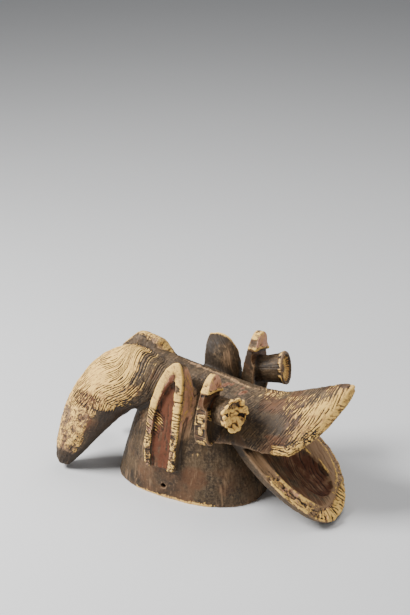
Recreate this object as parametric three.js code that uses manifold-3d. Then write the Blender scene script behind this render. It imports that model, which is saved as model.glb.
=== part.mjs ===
// Helmet mask of an animal, carved from one block of wood.
// Millimetres, +X to the snout, +Y to the animal's left, +Z up. The carving is worked out about the
// middle of the bell's rim, which stands on z = 0, and then moved so that the origin is the middle of
// the underside of its bounding box.
import * as THREE from "three";
import { mergeVertices } from "three/addons/utils/BufferGeometryUtils.js";
import Module from "manifold-3d";

// Bell that goes over the head
const RIM_HALF_LENGTH = 125;
const RIM_HALF_WIDTH = 86;
const RIM_POWER = 2.5;
const BELL_WALL = 14;
const CROWN_THICKNESS = 26;
const BELL_LEVELS = 12;
const BELL_SIDES = 44;
const ARCH_POWER = 2.15;
const BELL_END_LEAN = 62;
const BELL_LEAN_POWER = 1.2;
const BELL_SINK = { depth: 7, from: 35, slope: 0.14 };
const BELL_ROUNDING = { amount: 0.5, power: 0.7 };
const BELL_CLOSING = 0.97;
const BELL_LEAST = 2;
const RIM_HOLE_RADIUS = 4.3;
const RIM_HOLE_AT = { x: -14, z: 21 };

// Ridge of the head and of the upper jaw, as heights above the floor at places along the mask
const RIDGE = [
  { x: -130, z: 214 },
  { x: -60, z: 212 },
  { x: -15, z: 203 },
  { x: 45, z: 193 },
  { x: 100, z: 181 },
  { x: 130, z: 180 },
  { x: 150, z: 183 },
  { x: 175, z: 193 },
  { x: 215, z: 210 },
  { x: 250, z: 225 },
  { x: 266, z: 226 },
];

// Head and upper jaw: half width and height of the lower edge at places along the mask
const HOOD = [
  { x: -94, halfWidth: 36, lip: 126 },
  { x: -60, halfWidth: 56, lip: 106 },
  { x: -15, halfWidth: 69, lip: 100 },
  { x: 35, halfWidth: 70, lip: 103 },
  { x: 75, halfWidth: 69, lip: 111 },
  { x: 110, halfWidth: 72, lip: 117 },
  { x: 150, halfWidth: 75, lip: 116 },
  { x: 192, halfWidth: 72, lip: 119 },
  { x: 215, halfWidth: 57, lip: 136 },
  { x: 235, halfWidth: 39, lip: 157 },
  { x: 252, halfWidth: 20, lip: 185 },
  { x: 262, halfWidth: 10, lip: 205 },
  { x: 266, halfWidth: 4, lip: 216 },
];
const HOOD_STATIONS = 22;
const HOOD_POWER = 1.55;
const HOOD_SIDES = 20;
const LIP_THICKNESS = 15;
const ROOF_THICKNESS = 15;
const MOUTH_BACK = 110;
const MOUTH_POWER = 2.1;
const MOUTH_BELOW = 20;
const MOUTH_LEAST = 3;
const MOUTH_STATIONS = 14;
const MOUTH_SIDES = 16;

// Lower jaw: a spoon that slopes down from the corners of the mouth, skewed a little to the right
const JAW_ROOT = { x: 104, z: 115 };
const JAW_TIP = { x: 255, z: 2 };
const JAW_HALF_WIDTH = 89;
const JAW_WIDEST = 90;
const JAW_CREST = { share: 0.64, height: 12 };
const JAW_EDGE = 7;
const JAW_MIDDLE = 8;
const JAW_DEPTH = { tip: 22, root: 16 };
const JAW_NARROWING = 0.0021;
const JAW_UNDERSIDE = { width: 0.95, power: 2.4 };
const JAW_SKEW = { start: 4, from: 100, bend: 0.003 };
const JAW_STATIONS = 18;
const JAW_SIDES = 12;
const JAW_BACK = -22;
const RECESS = { along: 107, y: 2, halfLength: 50, halfWidth: 37, depth: 18 };

// Horns, as stations along the centre line: place, height of the crest above it, depth of the belly
// below it, half width across and the inward tilt of the crest in degrees
const HORN_STATIONS = [
  { x: -28, y: 24, z: 164, crest: 26, belly: 30, wide: 26, tilt: 6 },
  { x: -60, y: 28, z: 168, crest: 40, belly: 38, wide: 33, tilt: 12 },
  { x: -92, y: 34, z: 165, crest: 60, belly: 43, wide: 37, tilt: 20 },
  { x: -121, y: 40, z: 151, crest: 58, belly: 44, wide: 38, tilt: 20 },
  { x: -149, y: 48, z: 122, crest: 50, belly: 44, wide: 36, tilt: 16 },
  { x: -174, y: 57, z: 82, crest: 39, belly: 36, wide: 32, tilt: 10 },
  { x: -191, y: 66, z: 44, crest: 27, belly: 26, wide: 25, tilt: 5 },
  { x: -200, y: 72, z: 19, crest: 17, belly: 16, wide: 17, tilt: 0 },
];
const HORNS = [
  { side: -1, spread: 1, reach: 1, hump: 0, lift: 0, root: 1, slim: 1, wide: 1 },
  { side: 1, spread: 0.78, reach: 0.88, hump: 10, lift: 24, root: 0.72, slim: 0.62, wide: 0.76 },
];
const HORN_TURN = { x: -75, station: 2 };
const HORN_RINGS = 17;
const HORN_SIDES = 22;
const HORN_TIP_RADIUS = 15;
const HORN_TIP_TURNS = [0.35, 0.65, 0.88];
const HORN_STEP = 0.01;

// Ears: thick leaves along the sides of the bell, each with a channel in its outer face. The swell gives
// the outline's scale at depths behind that face, and the share there of the bulge of its front and of the
// tuck of its rear.
const EAR_FOOT = { y: 98, z: 57 };
const EAR_TOP = { y: 57, z: 234 };
const EARS = [
  {
    side: -1, x: -16, rear: 30, front: 26, tall: 0.97,
    crown: 15, corner: 0.7, out: 0.75, up: 0.66, bulge: 10, tuck: 0,
  },
  {
    side: 1, x: 12, rear: 14, front: 35, tall: 1,
    crown: 2, corner: 1.05, out: 1.04, up: 0.98, bulge: 2, tuck: 0.22,
  },
];
const EAR_OUTLINE = {
  foot: 0.8,
  frontTop: 0.72,
  crownDrop: 0.98,
  flankOut: 1.15,
  flankUp: 0.36,
};
const EAR_SWELL = [
  { depth: 0, wide: 1, tall: 1, bulge: 0 },
  { depth: 8, wide: 1.06, tall: 0.995, bulge: 0.35 },
  { depth: 20, wide: 1.08, tall: 0.97, bulge: 0.9 },
  { depth: 32, wide: 1.02, tall: 0.9, bulge: 1 },
  { depth: 44, wide: 0.86, tall: 0.76, bulge: 0.7 },
];
const EAR_BORDER = 12;
const EAR_CHANNEL_DEPTH = 7;
const EAR_CHANNEL_TOP = 0.84;

// Plates behind the eyes
const PLATE = { x: 54, y: 82, z: 119, height: 117, halfWidth: 33 };
const PLATES = [
  { side: -1, thickness: 21 },
  { side: 1, thickness: 24 },
];
const PLATE_OUTLINE = {
  foot: 0.3,
  low: { out: 1.22, up: 0.06 },
  high: { out: 1.1, up: 0.5 },
  shoulder: { out: 0.7, up: 0.83 },
  crown: 0.45,
};
const PLATE_TAPER = 11;
const PLATE_CUP = { y: 82, z: 160, depth: 12, halfWidth: 26, halfHeight: 40 };
const PLATE_SCOOP = { z: 193, depth: 8, halfWidth: 46, halfHeight: 15, slope: 18 };

// Eyes: flared tubes that stand on the plates
const EYES = [
  { side: -1, x: 114, outward: 22, upward: 9, size: 0.93 },
  { side: 1, x: 119, outward: 9, upward: 11, size: 1 },
];
const EYE_END = { y: 88, z: 180 };
const EYE_ROOT_RADIUS = 21.5;
const EYE_END_RADIUS = 28;
const EYE_LENGTH = 52;
const EYE_FLARE = 3.5;
const EYE_LIP = 5;
const EYE_LIP_SLOPE = 4;
const EYE_DISH = 7;
const EYE_SIDES = 24;

const wasm = await Module();
wasm.setup();

// Smooth curve through stations, read as an object of the same fields at a share of the way
function smooth(stations, fields) {
  const curves = fields.map((field) => {
    const points = stations.map((station, i) => new THREE.Vector3(i, station[field], 0));
    return new THREE.CatmullRomCurve3(points, false, "centripetal");
  });
  return (share) => {
    const values = curves.map((curve) => curve.getPoint(share).y);
    return Object.fromEntries(fields.map((field, i) => [field, values[i]]));
  };
}

// Height of the ridge above any place along the mask
const ridgeCurve = new THREE.CatmullRomCurve3(
  RIDGE.map((p) => new THREE.Vector3(p.x, 0, p.z)),
);
const ridgeLine = ridgeCurve.getPoints(120);
function ridge(x) {
  const next = ridgeLine.findIndex((p) => p.x > x);
  if (next <= 0) return next === 0 ? ridgeLine[0].z : ridgeLine.at(-1).z;
  const [a, b] = [ridgeLine[next - 1], ridgeLine[next]];
  return THREE.MathUtils.mapLinear(x, a.x, b.x, a.z, b.z);
}

// Closed surface through rings of points, each ring with the same count, the ends closed by fans
function loft(rings) {
  const count = rings[0].length;
  const centre = (ring) => ring.reduce((sum, p) => sum.add(p), new THREE.Vector3()).divideScalar(count);
  const points = [...rings.flat(), centre(rings[0]), centre(rings.at(-1))];
  const faces = [];
  for (let r = 0; r < rings.length - 1; r++) {
    for (let i = 0; i < count; i++) {
      const j = (i + 1) % count;
      const [a, b] = [r * count + i, r * count + j];
      faces.push(a, b, b + count, a, b + count, a + count);
    }
  }
  const last = (rings.length - 1) * count;
  for (let i = 0; i < count; i++) {
    const j = (i + 1) % count;
    faces.push(points.length - 2, j, i);
    faces.push(points.length - 1, last + i, last + j);
  }
  const geometry = new THREE.BufferGeometry().setFromPoints(points);
  return geometry.setIndex(faces);
}

// Solid from a closed surface, turned the right way out
function solid(geometry) {
  const bare = geometry.clone();
  bare.deleteAttribute("normal");
  bare.deleteAttribute("uv");
  const merged = mergeVertices(bare, 1e-3);
  const made = new wasm.Manifold(
    new wasm.Mesh({
      numProp: 3,
      vertProperties: merged.attributes.position.array,
      triVerts: new Uint32Array(merged.index.array),
    }),
  );
  if (made.volume() < 0) throw new Error("a surface faces inwards");
  return made;
}

// Value of a superellipse's cosine or sine
const curved = (value, power) => Math.sign(value) * Math.abs(value) ** (2 / power);

// Bell: level rings that narrow into an arch under the ridge. inset moves the surface inwards.
function bell(inset, crown, floor) {
  const rings = [];
  for (let level = 0; level <= BELL_LEVELS; level++) {
    const share = Math.sin((level / BELL_LEVELS) * 0.5 * Math.PI * BELL_CLOSING);
    const narrowing = (1 - share ** ARCH_POWER) ** (1 / ARCH_POWER);
    const halfLength = RIM_HALF_LENGTH - inset - BELL_END_LEAN * share ** BELL_LEAN_POWER;
    const halfWidth = Math.max((RIM_HALF_WIDTH - inset) * narrowing, BELL_LEAST);
    const power = RIM_POWER - BELL_ROUNDING.amount * share ** BELL_ROUNDING.power;
    const ring = [];
    for (let i = 0; i < BELL_SIDES; i++) {
      const angle = (i / BELL_SIDES) * 2 * Math.PI;
      const x = halfLength * curved(Math.cos(angle), power);
      const y = halfWidth * curved(Math.sin(angle), power);
      const sink = BELL_SINK.depth + Math.max(x - BELL_SINK.from, 0) * BELL_SINK.slope;
      ring.push(new THREE.Vector3(x, y, floor + share * (ridge(x) - sink - crown - floor)));
    }
    rings.push(ring);
  }
  return solid(loft(rings));
}

// Arch across the mask at one place: a top over a flat base, more pointed the lower its power is
function arch(x, halfWidth, base, top, power, sides) {
  const ring = [];
  for (let i = 0; i <= sides; i++) {
    const angle = (i / sides) * Math.PI;
    const y = halfWidth * curved(Math.cos(angle), power);
    const z = base + (top - base) * curved(Math.sin(angle), power);
    ring.push(new THREE.Vector3(x, y, z));
  }
  return ring;
}

// Head over the snout and its upper jaw, hollow below from the back of the mouth
function hood() {
  const fields = ["x", "halfWidth", "lip"];
  const whole = smooth(HOOD, fields);
  const mouth = smooth(HOOD.filter((station) => station.x >= MOUTH_BACK), fields);
  const outer = [];
  const inner = [];
  for (let i = 0; i <= HOOD_STATIONS; i++) {
    const { x, halfWidth, lip } = whole(i / HOOD_STATIONS);
    outer.push(arch(x, halfWidth, lip, ridge(x), HOOD_POWER, HOOD_SIDES));
  }
  for (let i = 0; i <= MOUTH_STATIONS; i++) {
    const { x, halfWidth, lip } = mouth(i / MOUTH_STATIONS);
    const width = Math.max(halfWidth - LIP_THICKNESS, MOUTH_LEAST);
    const roof = Math.max(ridge(x) - ROOF_THICKNESS, lip - MOUTH_LEAST);
    inner.push(arch(x, width, lip - MOUTH_BELOW, roof, MOUTH_POWER, MOUTH_SIDES));
  }
  return solid(loft(outer)).subtract(solid(loft(inner)));
}

// Half width of the lower jaw at a distance from the corners of the mouth
function jawHalfWidth(along, length) {
  if (along < JAW_WIDEST) return JAW_HALF_WIDTH - JAW_NARROWING * (JAW_WIDEST - along) ** 2;
  const share = Math.min((along - JAW_WIDEST) / (length - JAW_WIDEST), 1);
  return JAW_HALF_WIDTH * Math.sqrt(1 - share ** 2);
}

// Height of the lower jaw's upper face at a share of the half width: a dish inside a raised crest
function jawHeight(share) {
  const { share: crest, height } = JAW_CREST;
  if (share > crest) return THREE.MathUtils.mapLinear(share, crest, 1, height, JAW_EDGE);
  return JAW_MIDDLE + (height - JAW_MIDDLE) * (share / crest) ** 2;
}

// Lower jaw, made level and then sloped about the corners of the mouth
function lowerJaw() {
  const run = JAW_TIP.x - JAW_ROOT.x;
  const drop = JAW_ROOT.z - JAW_TIP.z;
  const length = Math.hypot(run, drop);
  const rings = [];
  for (let i = 0; i <= JAW_STATIONS; i++) {
    const share = Math.sin((i / JAW_STATIONS) * 0.5 * Math.PI);
    const along = JAW_BACK + (length - 1 - JAW_BACK) * share;
    const halfWidth = jawHalfWidth(along, length);
    const skew = JAW_SKEW.start - JAW_SKEW.bend * Math.max(along - JAW_SKEW.from, 0) ** 2;
    const fuller = JAW_DEPTH.root * THREE.MathUtils.clamp(1 - along / JAW_WIDEST, 0, 1);
    const depth = (JAW_DEPTH.tip + fuller) * (halfWidth / JAW_HALF_WIDTH) ** 2;
    const ring = [];
    for (let k = 0; k <= JAW_SIDES; k++) {
      const across = Math.cos((k / JAW_SIDES) * Math.PI);
      ring.push(new THREE.Vector3(along, halfWidth * across + skew, jawHeight(Math.abs(across))));
    }
    for (let k = 0; k <= JAW_SIDES; k++) {
      const angle = Math.PI + (k / JAW_SIDES) * Math.PI;
      const y = halfWidth * JAW_UNDERSIDE.width * curved(Math.cos(angle), JAW_UNDERSIDE.power);
      const z = depth * curved(Math.sin(angle), JAW_UNDERSIDE.power);
      ring.push(new THREE.Vector3(along, y + skew, z));
    }
    rings.push(ring);
  }
  const spoon = solid(loft(rings));
  const bowl = new THREE.SphereGeometry(1, 24, 16);
  bowl.scale(RECESS.halfLength, RECESS.halfWidth, RECESS.depth);
  bowl.translate(RECESS.along, RECESS.y, JAW_MIDDLE + 1);
  const slope = new THREE.Matrix4().makeRotationY(Math.atan2(drop, run));
  const place = new THREE.Matrix4().makeTranslation(JAW_ROOT.x, 0, JAW_ROOT.z).multiply(slope);
  return spoon.subtract(solid(bowl)).transform(place.elements);
}

// Horn of one side: ellipses square to a smooth centre line, closed by a rounded tip
function horn({ side, spread, reach, hump, lift, root, slim, wide }) {
  const fields = ["x", "y", "z", "crest", "belly", "wide", "tilt"];
  const stations = HORN_STATIONS.map((s, i) => ({
    ...s,
    x: s.x < HORN_TURN.x ? HORN_TURN.x + (s.x - HORN_TURN.x) * reach : s.x,
    y: s.y * spread,
    z: s.z + lift * (i / (HORN_STATIONS.length - 1)) ** 3 + (i === HORN_TURN.station ? hump : 0),
    crest: s.crest * (i > HORN_TURN.station ? slim : i < HORN_TURN.station ? root : 1),
    wide: s.wide * wide,
  }));
  const at = smooth(stations, fields);
  const rings = [];
  for (let i = 0; i <= HORN_RINGS; i++) {
    const share = i / HORN_RINGS;
    const here = at(share);
    const ahead = at(Math.min(share + HORN_STEP, 1));
    const behind = at(Math.max(share - HORN_STEP, 0));
    const along = new THREE.Vector3(ahead.x - behind.x, side * (ahead.y - behind.y), ahead.z - behind.z);
    rings.push(hornRing(here, along.normalize(), side, 1, 0));
    if (i === HORN_RINGS) {
      for (const turn of HORN_TIP_TURNS) {
        const ahead = HORN_TIP_RADIUS * Math.sin(turn * 0.5 * Math.PI);
        rings.push(hornRing(here, along, side, Math.cos(turn * 0.5 * Math.PI), ahead));
      }
    }
  }
  return solid(loft(rings));
}

function hornRing(here, along, side, scale, ahead) {
  const level = new THREE.Vector3(0, 1, 0).cross(along).cross(along).negate().normalize();
  const across = level.applyAxisAngle(along, -side * THREE.MathUtils.degToRad(here.tilt));
  const up = new THREE.Vector3().crossVectors(along, across);
  const centre = new THREE.Vector3(here.x, side * here.y, here.z).addScaledVector(along, ahead);
  const ring = [];
  for (let i = 0; i < HORN_SIDES; i++) {
    const angle = (i / HORN_SIDES) * 2 * Math.PI;
    const deep = Math.sin(angle) * up.z > 0 ? here.crest : here.belly;
    ring.push(
      centre
        .clone()
        .addScaledVector(across, here.wide * scale * Math.cos(angle))
        .addScaledVector(up, deep * scale * Math.sin(angle)),
    );
  }
  return ring;
}

// Outline of an ear's face: x along the mask, y up the ear
function earOutline({ rear, front, crown, corner, out, up }, height, border, top) {
  const r = rear - border;
  const f = front - border;
  const h = height * top;
  const line = EAR_OUTLINE;
  const shape = new THREE.Shape();
  shape.moveTo(-r * line.foot, 0);
  shape.lineTo(f, 0);
  shape.lineTo(f + 1, h * line.frontTop);
  shape.quadraticCurveTo(f + 1, h, crown, h);
  shape.quadraticCurveTo(crown - r * corner, h * line.crownDrop, -r * out, h * up);
  shape.quadraticCurveTo(-r * line.flankOut, h * line.flankUp, -r * line.foot, 0);
  return shape;
}

// Ear of one side, laid on its lean from foot to top, with its channel cut in the outer face
function ear(form) {
  const rise = EAR_TOP.z - EAR_FOOT.z;
  const inward = EAR_FOOT.y - EAR_TOP.y;
  const height = Math.hypot(rise, inward) * form.tall;
  const outline = earOutline(form, height, 0, 1).getPoints(7).slice(0, -1);
  const rings = EAR_SWELL.map(({ depth, wide, tall, bulge }) =>
    outline.map((p) => {
      const fuller = p.x > 0 ? form.bulge * bulge * Math.sin((p.y / height) * Math.PI) : 0;
      const drawn = p.x < 0 ? 1 - form.tuck * bulge : 1;
      return new THREE.Vector3(p.x * wide * drawn + fuller, p.y * tall, -depth);
    }),
  );
  const leaf = solid(loft(rings.reverse()));
  const channel = new THREE.ExtrudeGeometry(earOutline(form, height, EAR_BORDER, EAR_CHANNEL_TOP), {
    depth: EAR_CHANNEL_DEPTH * 2,
    bevelEnabled: false,
    curveSegments: 7,
  });
  channel.translate(0, -1, -EAR_CHANNEL_DEPTH);
  const carved = leaf.subtract(solid(channel));
  const lean = new THREE.Matrix4().makeRotationX(Math.PI / 2 - Math.atan2(inward, rise));
  const place = new THREE.Matrix4().makeTranslation(form.x, -EAR_FOOT.y, EAR_FOOT.z).multiply(lean);
  const mirror = new THREE.Matrix4().makeScale(1, -form.side, 1);
  return carved.transform(mirror.multiply(place).elements);
}

// Plate behind an eye: an egg-shaped slab across the head, cupped in front, with a slanting scoop across it
// that leaves a ledge under its top
function plate({ side, thickness }) {
  const { halfWidth, height } = PLATE;
  const foot = halfWidth * PLATE_OUTLINE.foot;
  const crown = halfWidth * PLATE_OUTLINE.crown;
  const [low, high, shoulder] = ["low", "high", "shoulder"].map((name) => {
    const { out, up } = PLATE_OUTLINE[name];
    return { x: halfWidth * out, y: height * up };
  });
  const shape = new THREE.Shape();
  shape.moveTo(-foot, 0);
  shape.lineTo(foot, 0);
  shape.bezierCurveTo(low.x, low.y, high.x, high.y, shoulder.x, shoulder.y);
  shape.quadraticCurveTo(crown, height, 0, height);
  shape.quadraticCurveTo(-crown, height, -shoulder.x, shoulder.y);
  shape.bezierCurveTo(-high.x, high.y, -low.x, low.y, -foot, 0);
  const slab = new THREE.ExtrudeGeometry(shape, { depth: thickness, bevelEnabled: false, curveSegments: 8 });
  slab.rotateX(Math.PI / 2);
  slab.rotateZ(Math.PI / 2);
  slab.translate(PLATE.x, side * PLATE.y, PLATE.z);
  const places = slab.attributes.position;
  for (let i = 0; i < places.count; i++) {
    const rise = (places.getZ(i) - PLATE.z) / height;
    if (places.getX(i) < PLATE.x + 1) places.setX(i, PLATE.x + PLATE_TAPER * rise ** 2);
  }
  const cup = new THREE.SphereGeometry(1, 18, 12);
  cup.scale(PLATE_CUP.depth, PLATE_CUP.halfWidth, PLATE_CUP.halfHeight);
  cup.translate(PLATE.x + thickness, side * PLATE_CUP.y, PLATE_CUP.z);
  const scoop = new THREE.SphereGeometry(1, 14, 10);
  scoop.scale(PLATE_SCOOP.depth, PLATE_SCOOP.halfWidth, PLATE_SCOOP.halfHeight);
  scoop.rotateX(-THREE.MathUtils.degToRad(PLATE_SCOOP.slope));
  scoop.translate(PLATE.x + thickness, side * PLATE.y, PLATE_SCOOP.z);
  return solid(slab).subtract(solid(cup)).subtract(solid(scoop));
}

// Eye: a flared tube with a dished end
function eye({ side, x, outward, upward, size }) {
  const profile = [
    new THREE.Vector2(0, -EYE_LENGTH),
    new THREE.Vector2(EYE_ROOT_RADIUS, -EYE_LENGTH),
    new THREE.Vector2(EYE_ROOT_RADIUS + 1, -EYE_LENGTH * 0.55),
    new THREE.Vector2(EYE_END_RADIUS - EYE_FLARE, -EYE_LENGTH * 0.2),
    new THREE.Vector2(EYE_END_RADIUS, -EYE_LIP * 0.6),
    new THREE.Vector2(EYE_END_RADIUS - EYE_LIP * 0.3, 0),
    new THREE.Vector2(EYE_END_RADIUS - EYE_LIP, 0),
    new THREE.Vector2(EYE_END_RADIUS - EYE_LIP - EYE_LIP_SLOPE, -EYE_DISH * 0.8),
    new THREE.Vector2(EYE_END_RADIUS * 0.35, -EYE_DISH),
    new THREE.Vector2(0, -EYE_DISH * 0.5),
  ];
  const tube = new THREE.LatheGeometry(profile, EYE_SIDES);
  tube.scale(size, 1, size);
  const aim = new THREE.Vector3(1, 0, 0)
    .applyAxisAngle(new THREE.Vector3(0, 1, 0), -THREE.MathUtils.degToRad(upward))
    .applyAxisAngle(new THREE.Vector3(0, 0, 1), side * THREE.MathUtils.degToRad(outward));
  const turn = new THREE.Quaternion().setFromUnitVectors(new THREE.Vector3(0, 1, 0), aim);
  tube.applyQuaternion(turn);
  tube.translate(x, side * EYE_END.y, EYE_END.z);
  return solid(tube);
}

// Small round hole through the bell's wall near the rim
function rimHole() {
  const hole = new THREE.CylinderGeometry(RIM_HOLE_RADIUS, RIM_HOLE_RADIUS, 3 * BELL_WALL, 12);
  hole.translate(RIM_HOLE_AT.x, -RIM_HALF_WIDTH, RIM_HOLE_AT.z);
  return solid(hole);
}

function carve() {
  let block = bell(0, 0, 0).add(hood()).add(lowerJaw());
  for (const form of HORNS) block = block.add(horn(form));
  for (const form of PLATES) block = block.add(plate(form));
  for (const form of EARS) block = block.add(ear(form));
  for (const form of EYES) block = block.add(eye(form));
  return block.subtract(bell(BELL_WALL, CROWN_THICKNESS, -1)).subtract(rimHole());
}

const { numProp, vertProperties, triVerts } = carve().getMesh();
const carved = new THREE.BufferGeometry()
  .setAttribute("position", new THREE.BufferAttribute(new Float32Array(vertProperties), numProp))
  .setIndex(new THREE.BufferAttribute(new Uint32Array(triVerts), 1))
  .toNonIndexed();
carved.computeVertexNormals();

const wood = new THREE.MeshStandardMaterial({ color: 0x5b4634, roughness: 0.7, metalness: 0 });
const mask = new THREE.Mesh(carved, wood);
mask.name = "mask";
const box = new THREE.Box3().setFromObject(mask);
const middle = box.getCenter(new THREE.Vector3());
mask.position.set(-middle.x, -middle.y, -box.min.z);

const part = new THREE.Group();
part.add(mask);

export default part;
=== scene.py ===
"""A carved wooden helmet mask with its tool marks, wear and pigments, in a plain studio.

Places in the carving are millimetres about the middle of the bell's rim, with +X to the snout, +Y to the
animal's left and +Z up. The rim's middle is found on the frame.
"""
import itertools
import math

import bpy
import numpy as np
from bpy.props import FloatProperty, FloatVectorProperty, IntProperty, PointerProperty
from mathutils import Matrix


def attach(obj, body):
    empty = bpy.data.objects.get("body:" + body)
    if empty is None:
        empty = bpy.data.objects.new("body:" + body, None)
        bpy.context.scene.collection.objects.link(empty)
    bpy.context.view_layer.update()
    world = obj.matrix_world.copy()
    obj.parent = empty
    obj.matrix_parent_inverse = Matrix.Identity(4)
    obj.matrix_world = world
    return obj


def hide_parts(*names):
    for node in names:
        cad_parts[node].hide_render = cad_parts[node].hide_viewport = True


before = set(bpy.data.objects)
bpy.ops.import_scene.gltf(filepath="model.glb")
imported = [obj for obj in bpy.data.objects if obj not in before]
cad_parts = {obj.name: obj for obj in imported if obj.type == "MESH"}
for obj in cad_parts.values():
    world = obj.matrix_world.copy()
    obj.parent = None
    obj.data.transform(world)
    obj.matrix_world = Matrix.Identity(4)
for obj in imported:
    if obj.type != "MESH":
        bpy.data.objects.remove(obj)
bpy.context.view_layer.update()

bl_info = {
    "name": "Carved Helmet Mask",
    "version": (1, 0, 0),
    "blender": (4, 5, 0),
    "location": "View3D > Sidebar > Mask",
    "description": "Carves and paints a wooden helmet mask and sets it in a plain studio",
    "category": "Object",
}

MM = 0.001
NODE = "mask"
SEED = 7

# Bell and its hollow
HOLLOW = {"half_length": 111, "half_width": 72, "top": 170, "lean": 62, "bulge": 2.15, "power": 2.4}
HOLLOW_CROWN = 6
GOUGE_MARK = (34, 15, 30)
RIM_HOLE = (-14, -86, 21)

# Lower edge of the head and upper jaw, and the ridge over them, as places along the mask and heights
LIP = [(-94, 126), (-60, 106), (-15, 100), (35, 103), (75, 111), (110, 117), (150, 116), (192, 119),
       (215, 136), (235, 157), (252, 185), (266, 216)]
RIDGE = [(-130, 214), (-60, 212), (-15, 203), (45, 193), (100, 181), (130, 180), (150, 183), (175, 193),
         (215, 210), (250, 225), (266, 226)]
STROKE_LEAN = math.radians(63)
MOUTH_ROOF = 24

# Lower jaw
JAW_ROOT = (104, 115)
JAW_TIP = (255, 2)
JAW_LENGTH = math.hypot(JAW_TIP[0] - JAW_ROOT[0], JAW_ROOT[1] - JAW_TIP[1])
JAW_BACK = -22
JAW_HALF_WIDTH = 89
JAW_WIDEST = 90
JAW_NARROWING = 0.0021
JAW_SKEW = {"start": 4, "from": 100, "bend": 0.003}
RECESS = {"along": 107, "across": 2, "half_length": 50, "half_width": 37}

# Horns: place, height of the crest, depth of the belly and half width along the centre line
HORN_ROWS = [
    (-28, 24, 164, 26, 30, 26),
    (-60, 28, 168, 40, 38, 33),
    (-92, 34, 165, 60, 43, 37),
    (-121, 40, 151, 58, 44, 38),
    (-149, 48, 122, 50, 44, 36),
    (-174, 57, 82, 39, 36, 32),
    (-191, 66, 44, 27, 26, 25),
    (-200, 72, 19, 17, 16, 17),
]
HORNS = [
    {"side": -1, "spread": 1, "reach": 1, "hump": 0, "lift": 0, "root": 1, "slim": 1, "wide": 1},
    {"side": 1, "spread": 0.78, "reach": 0.88, "hump": 10, "lift": 24,
     "root": 0.72, "slim": 0.62, "wide": 0.76},
]
HORN_TURN = {"x": -75, "row": 2}

# Line, seen from the side, where the pale pigment of a horn ends towards the head and the belly
HORN_PAINT_EDGE = [(-76, 240), (-73, 197), (-79, 180), (-91, 167), (-107, 157), (-122, 146), (-135, 112),
                   (-154, 78), (-168, 50), (-178, 34), (-188, 8)]

# Ears
EAR_FOOT = {"y": 98, "z": 57}
EAR_TOP = {"y": 57, "z": 234}
EARS = [
    {"side": -1, "x": -16, "rear": 30, "front": 26, "tall": 0.97,
     "crown": 15, "corner": 0.7, "out": 0.75, "up": 0.66, "bulge": 10},
    {"side": 1, "x": 12, "rear": 14, "front": 35, "tall": 1,
     "crown": 2, "corner": 1.05, "out": 1.04, "up": 0.98, "bulge": 2},
]
EAR_OUTLINE = {"foot": 0.8, "front_top": 0.72, "crown_drop": 0.98, "flank_out": 1.15, "flank_up": 0.36}
EAR_BORDER = 12
EAR_DEPTH = 46

# Plates behind the eyes
PLATE = {"x": 54, "y": 82, "z": 119, "height": 117, "half_width": 33}
PLATES = [{"side": -1, "thickness": 21}, {"side": 1, "thickness": 24}]
PLATE_OUTLINE = {"foot": 0.3, "low": (1.22, 0.06), "high": (1.1, 0.5), "shoulder": (0.7, 0.83),
                 "crown": 0.45}
PLATE_CUP = {"up": 41, "half_width": 27, "half_height": 41}
SCOOP = {"z": 193, "slope": math.radians(18)}

# Eyes
EYES = [
    {"side": -1, "x": 114, "outward": 22, "upward": 9, "size": 0.93},
    {"side": 1, "x": 119, "outward": 9, "upward": 11, "size": 1},
]
EYE_END = {"y": 88, "z": 180}
EYE_RADIUS = 28
EYE_LENGTH = 52

# Chips, pits, stains, bare places and painted shade of each form: the middle of each, and its reach along
# each axis.
# Those of the ears count their second number in the ear's height. Those of the horns lie to +Y and those of
# the head to -Y, and both are mirrored for the other side.
EYE_SPOTS = {
    "slot": ((1, 14), (15, 6)),
    "hole": ((-15, 6), (6, 6)),
    "dent": ((13, -7), (7, 9)),
}
EAR_SPOTS = {
    "fan": ((-18, 0.42, 0), (23, 28, 30)),
    "chip": ((18, 0.76, 0), (9, 10, 30)),
    "pit": ((17, 0.63, 0), (4, 5, 30)),
    "pale_wall": ((27, 0.84, -34), (15, 36, 28)),
    # Painted shadow at the foot of the far ear's front wall
    "painted_shadow_wall": ((26, 0.35, -30), (16, 30, 26)),
}
HORN_SPOTS = {
    "smooth": ((-142, 66, 176), (36, 40, 26)),
    "band": ((-150, 78, 137), (46, 40, 16)),
    "reddish": ((-152, 84, 112), (36, 30, 30)),
    "brown": ((-150, 84, 96), (16, 30, 30)),
}
HEAD_SPOTS = {
    # Dark wood beside the eye tubes, partly painted shadow of the tubes
    "beside_eye": ((146, -56, 160), (46, 28, 30)),
    "under_plate": ((44, -74, 84), (24, 14, 10)),
    "brow": ((80, -16, 185), (38, 18, 18)),
    "cheek": ((163, -70, 140), (38, 16, 18)),
    "bell_side": ((40, -82, 46), (40, 20, 30)),
    "bell_front": ((88, -64, 30), (24, 20, 18)),
    "snout_side": ((222, -50, 150), (22, 20, 20)),
}

# Strokes of the gouge: the seed of their wandering, their distance apart and the length of a groove
STROKES = {
    "hollow": (1, 12),
    "mouth": (2, 5.6),
    "whole_eye": (3, 4.2),
    "eroded_eye": (4, 5),
    "plate": (5, 5.2, 9),
    "ear": (6, 5.6),
    "horn": (7, 3.5, 7),
    "jaw": (8, 4.6),
    "head": (9, 3.6, 7),
}
FAN_SPACING = 4.2

# Where the wall of a groove starts and ends, and how much of a spot is whole, as shares of half their width
GROOVE_WALL = (0.4, 0.95)
SPOT_CORE = 0.45

# How far round a form's solid the points are taken as its own
EYE_ROOM = {"back": 4, "front": 6, "round": 2.5}
PLATE_ROOM = {"end": 2, "side": 8}
EAR_ROOM = {"half_length": 50, "end": 3, "over": 2, "round": 4}
HORN_ROOM = {"x": -24, "y": -16, "radius": 1.16}
JAW_ROOM = {"x": 96, "end": 3, "side": 6, "under": 42, "over": 19}

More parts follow.
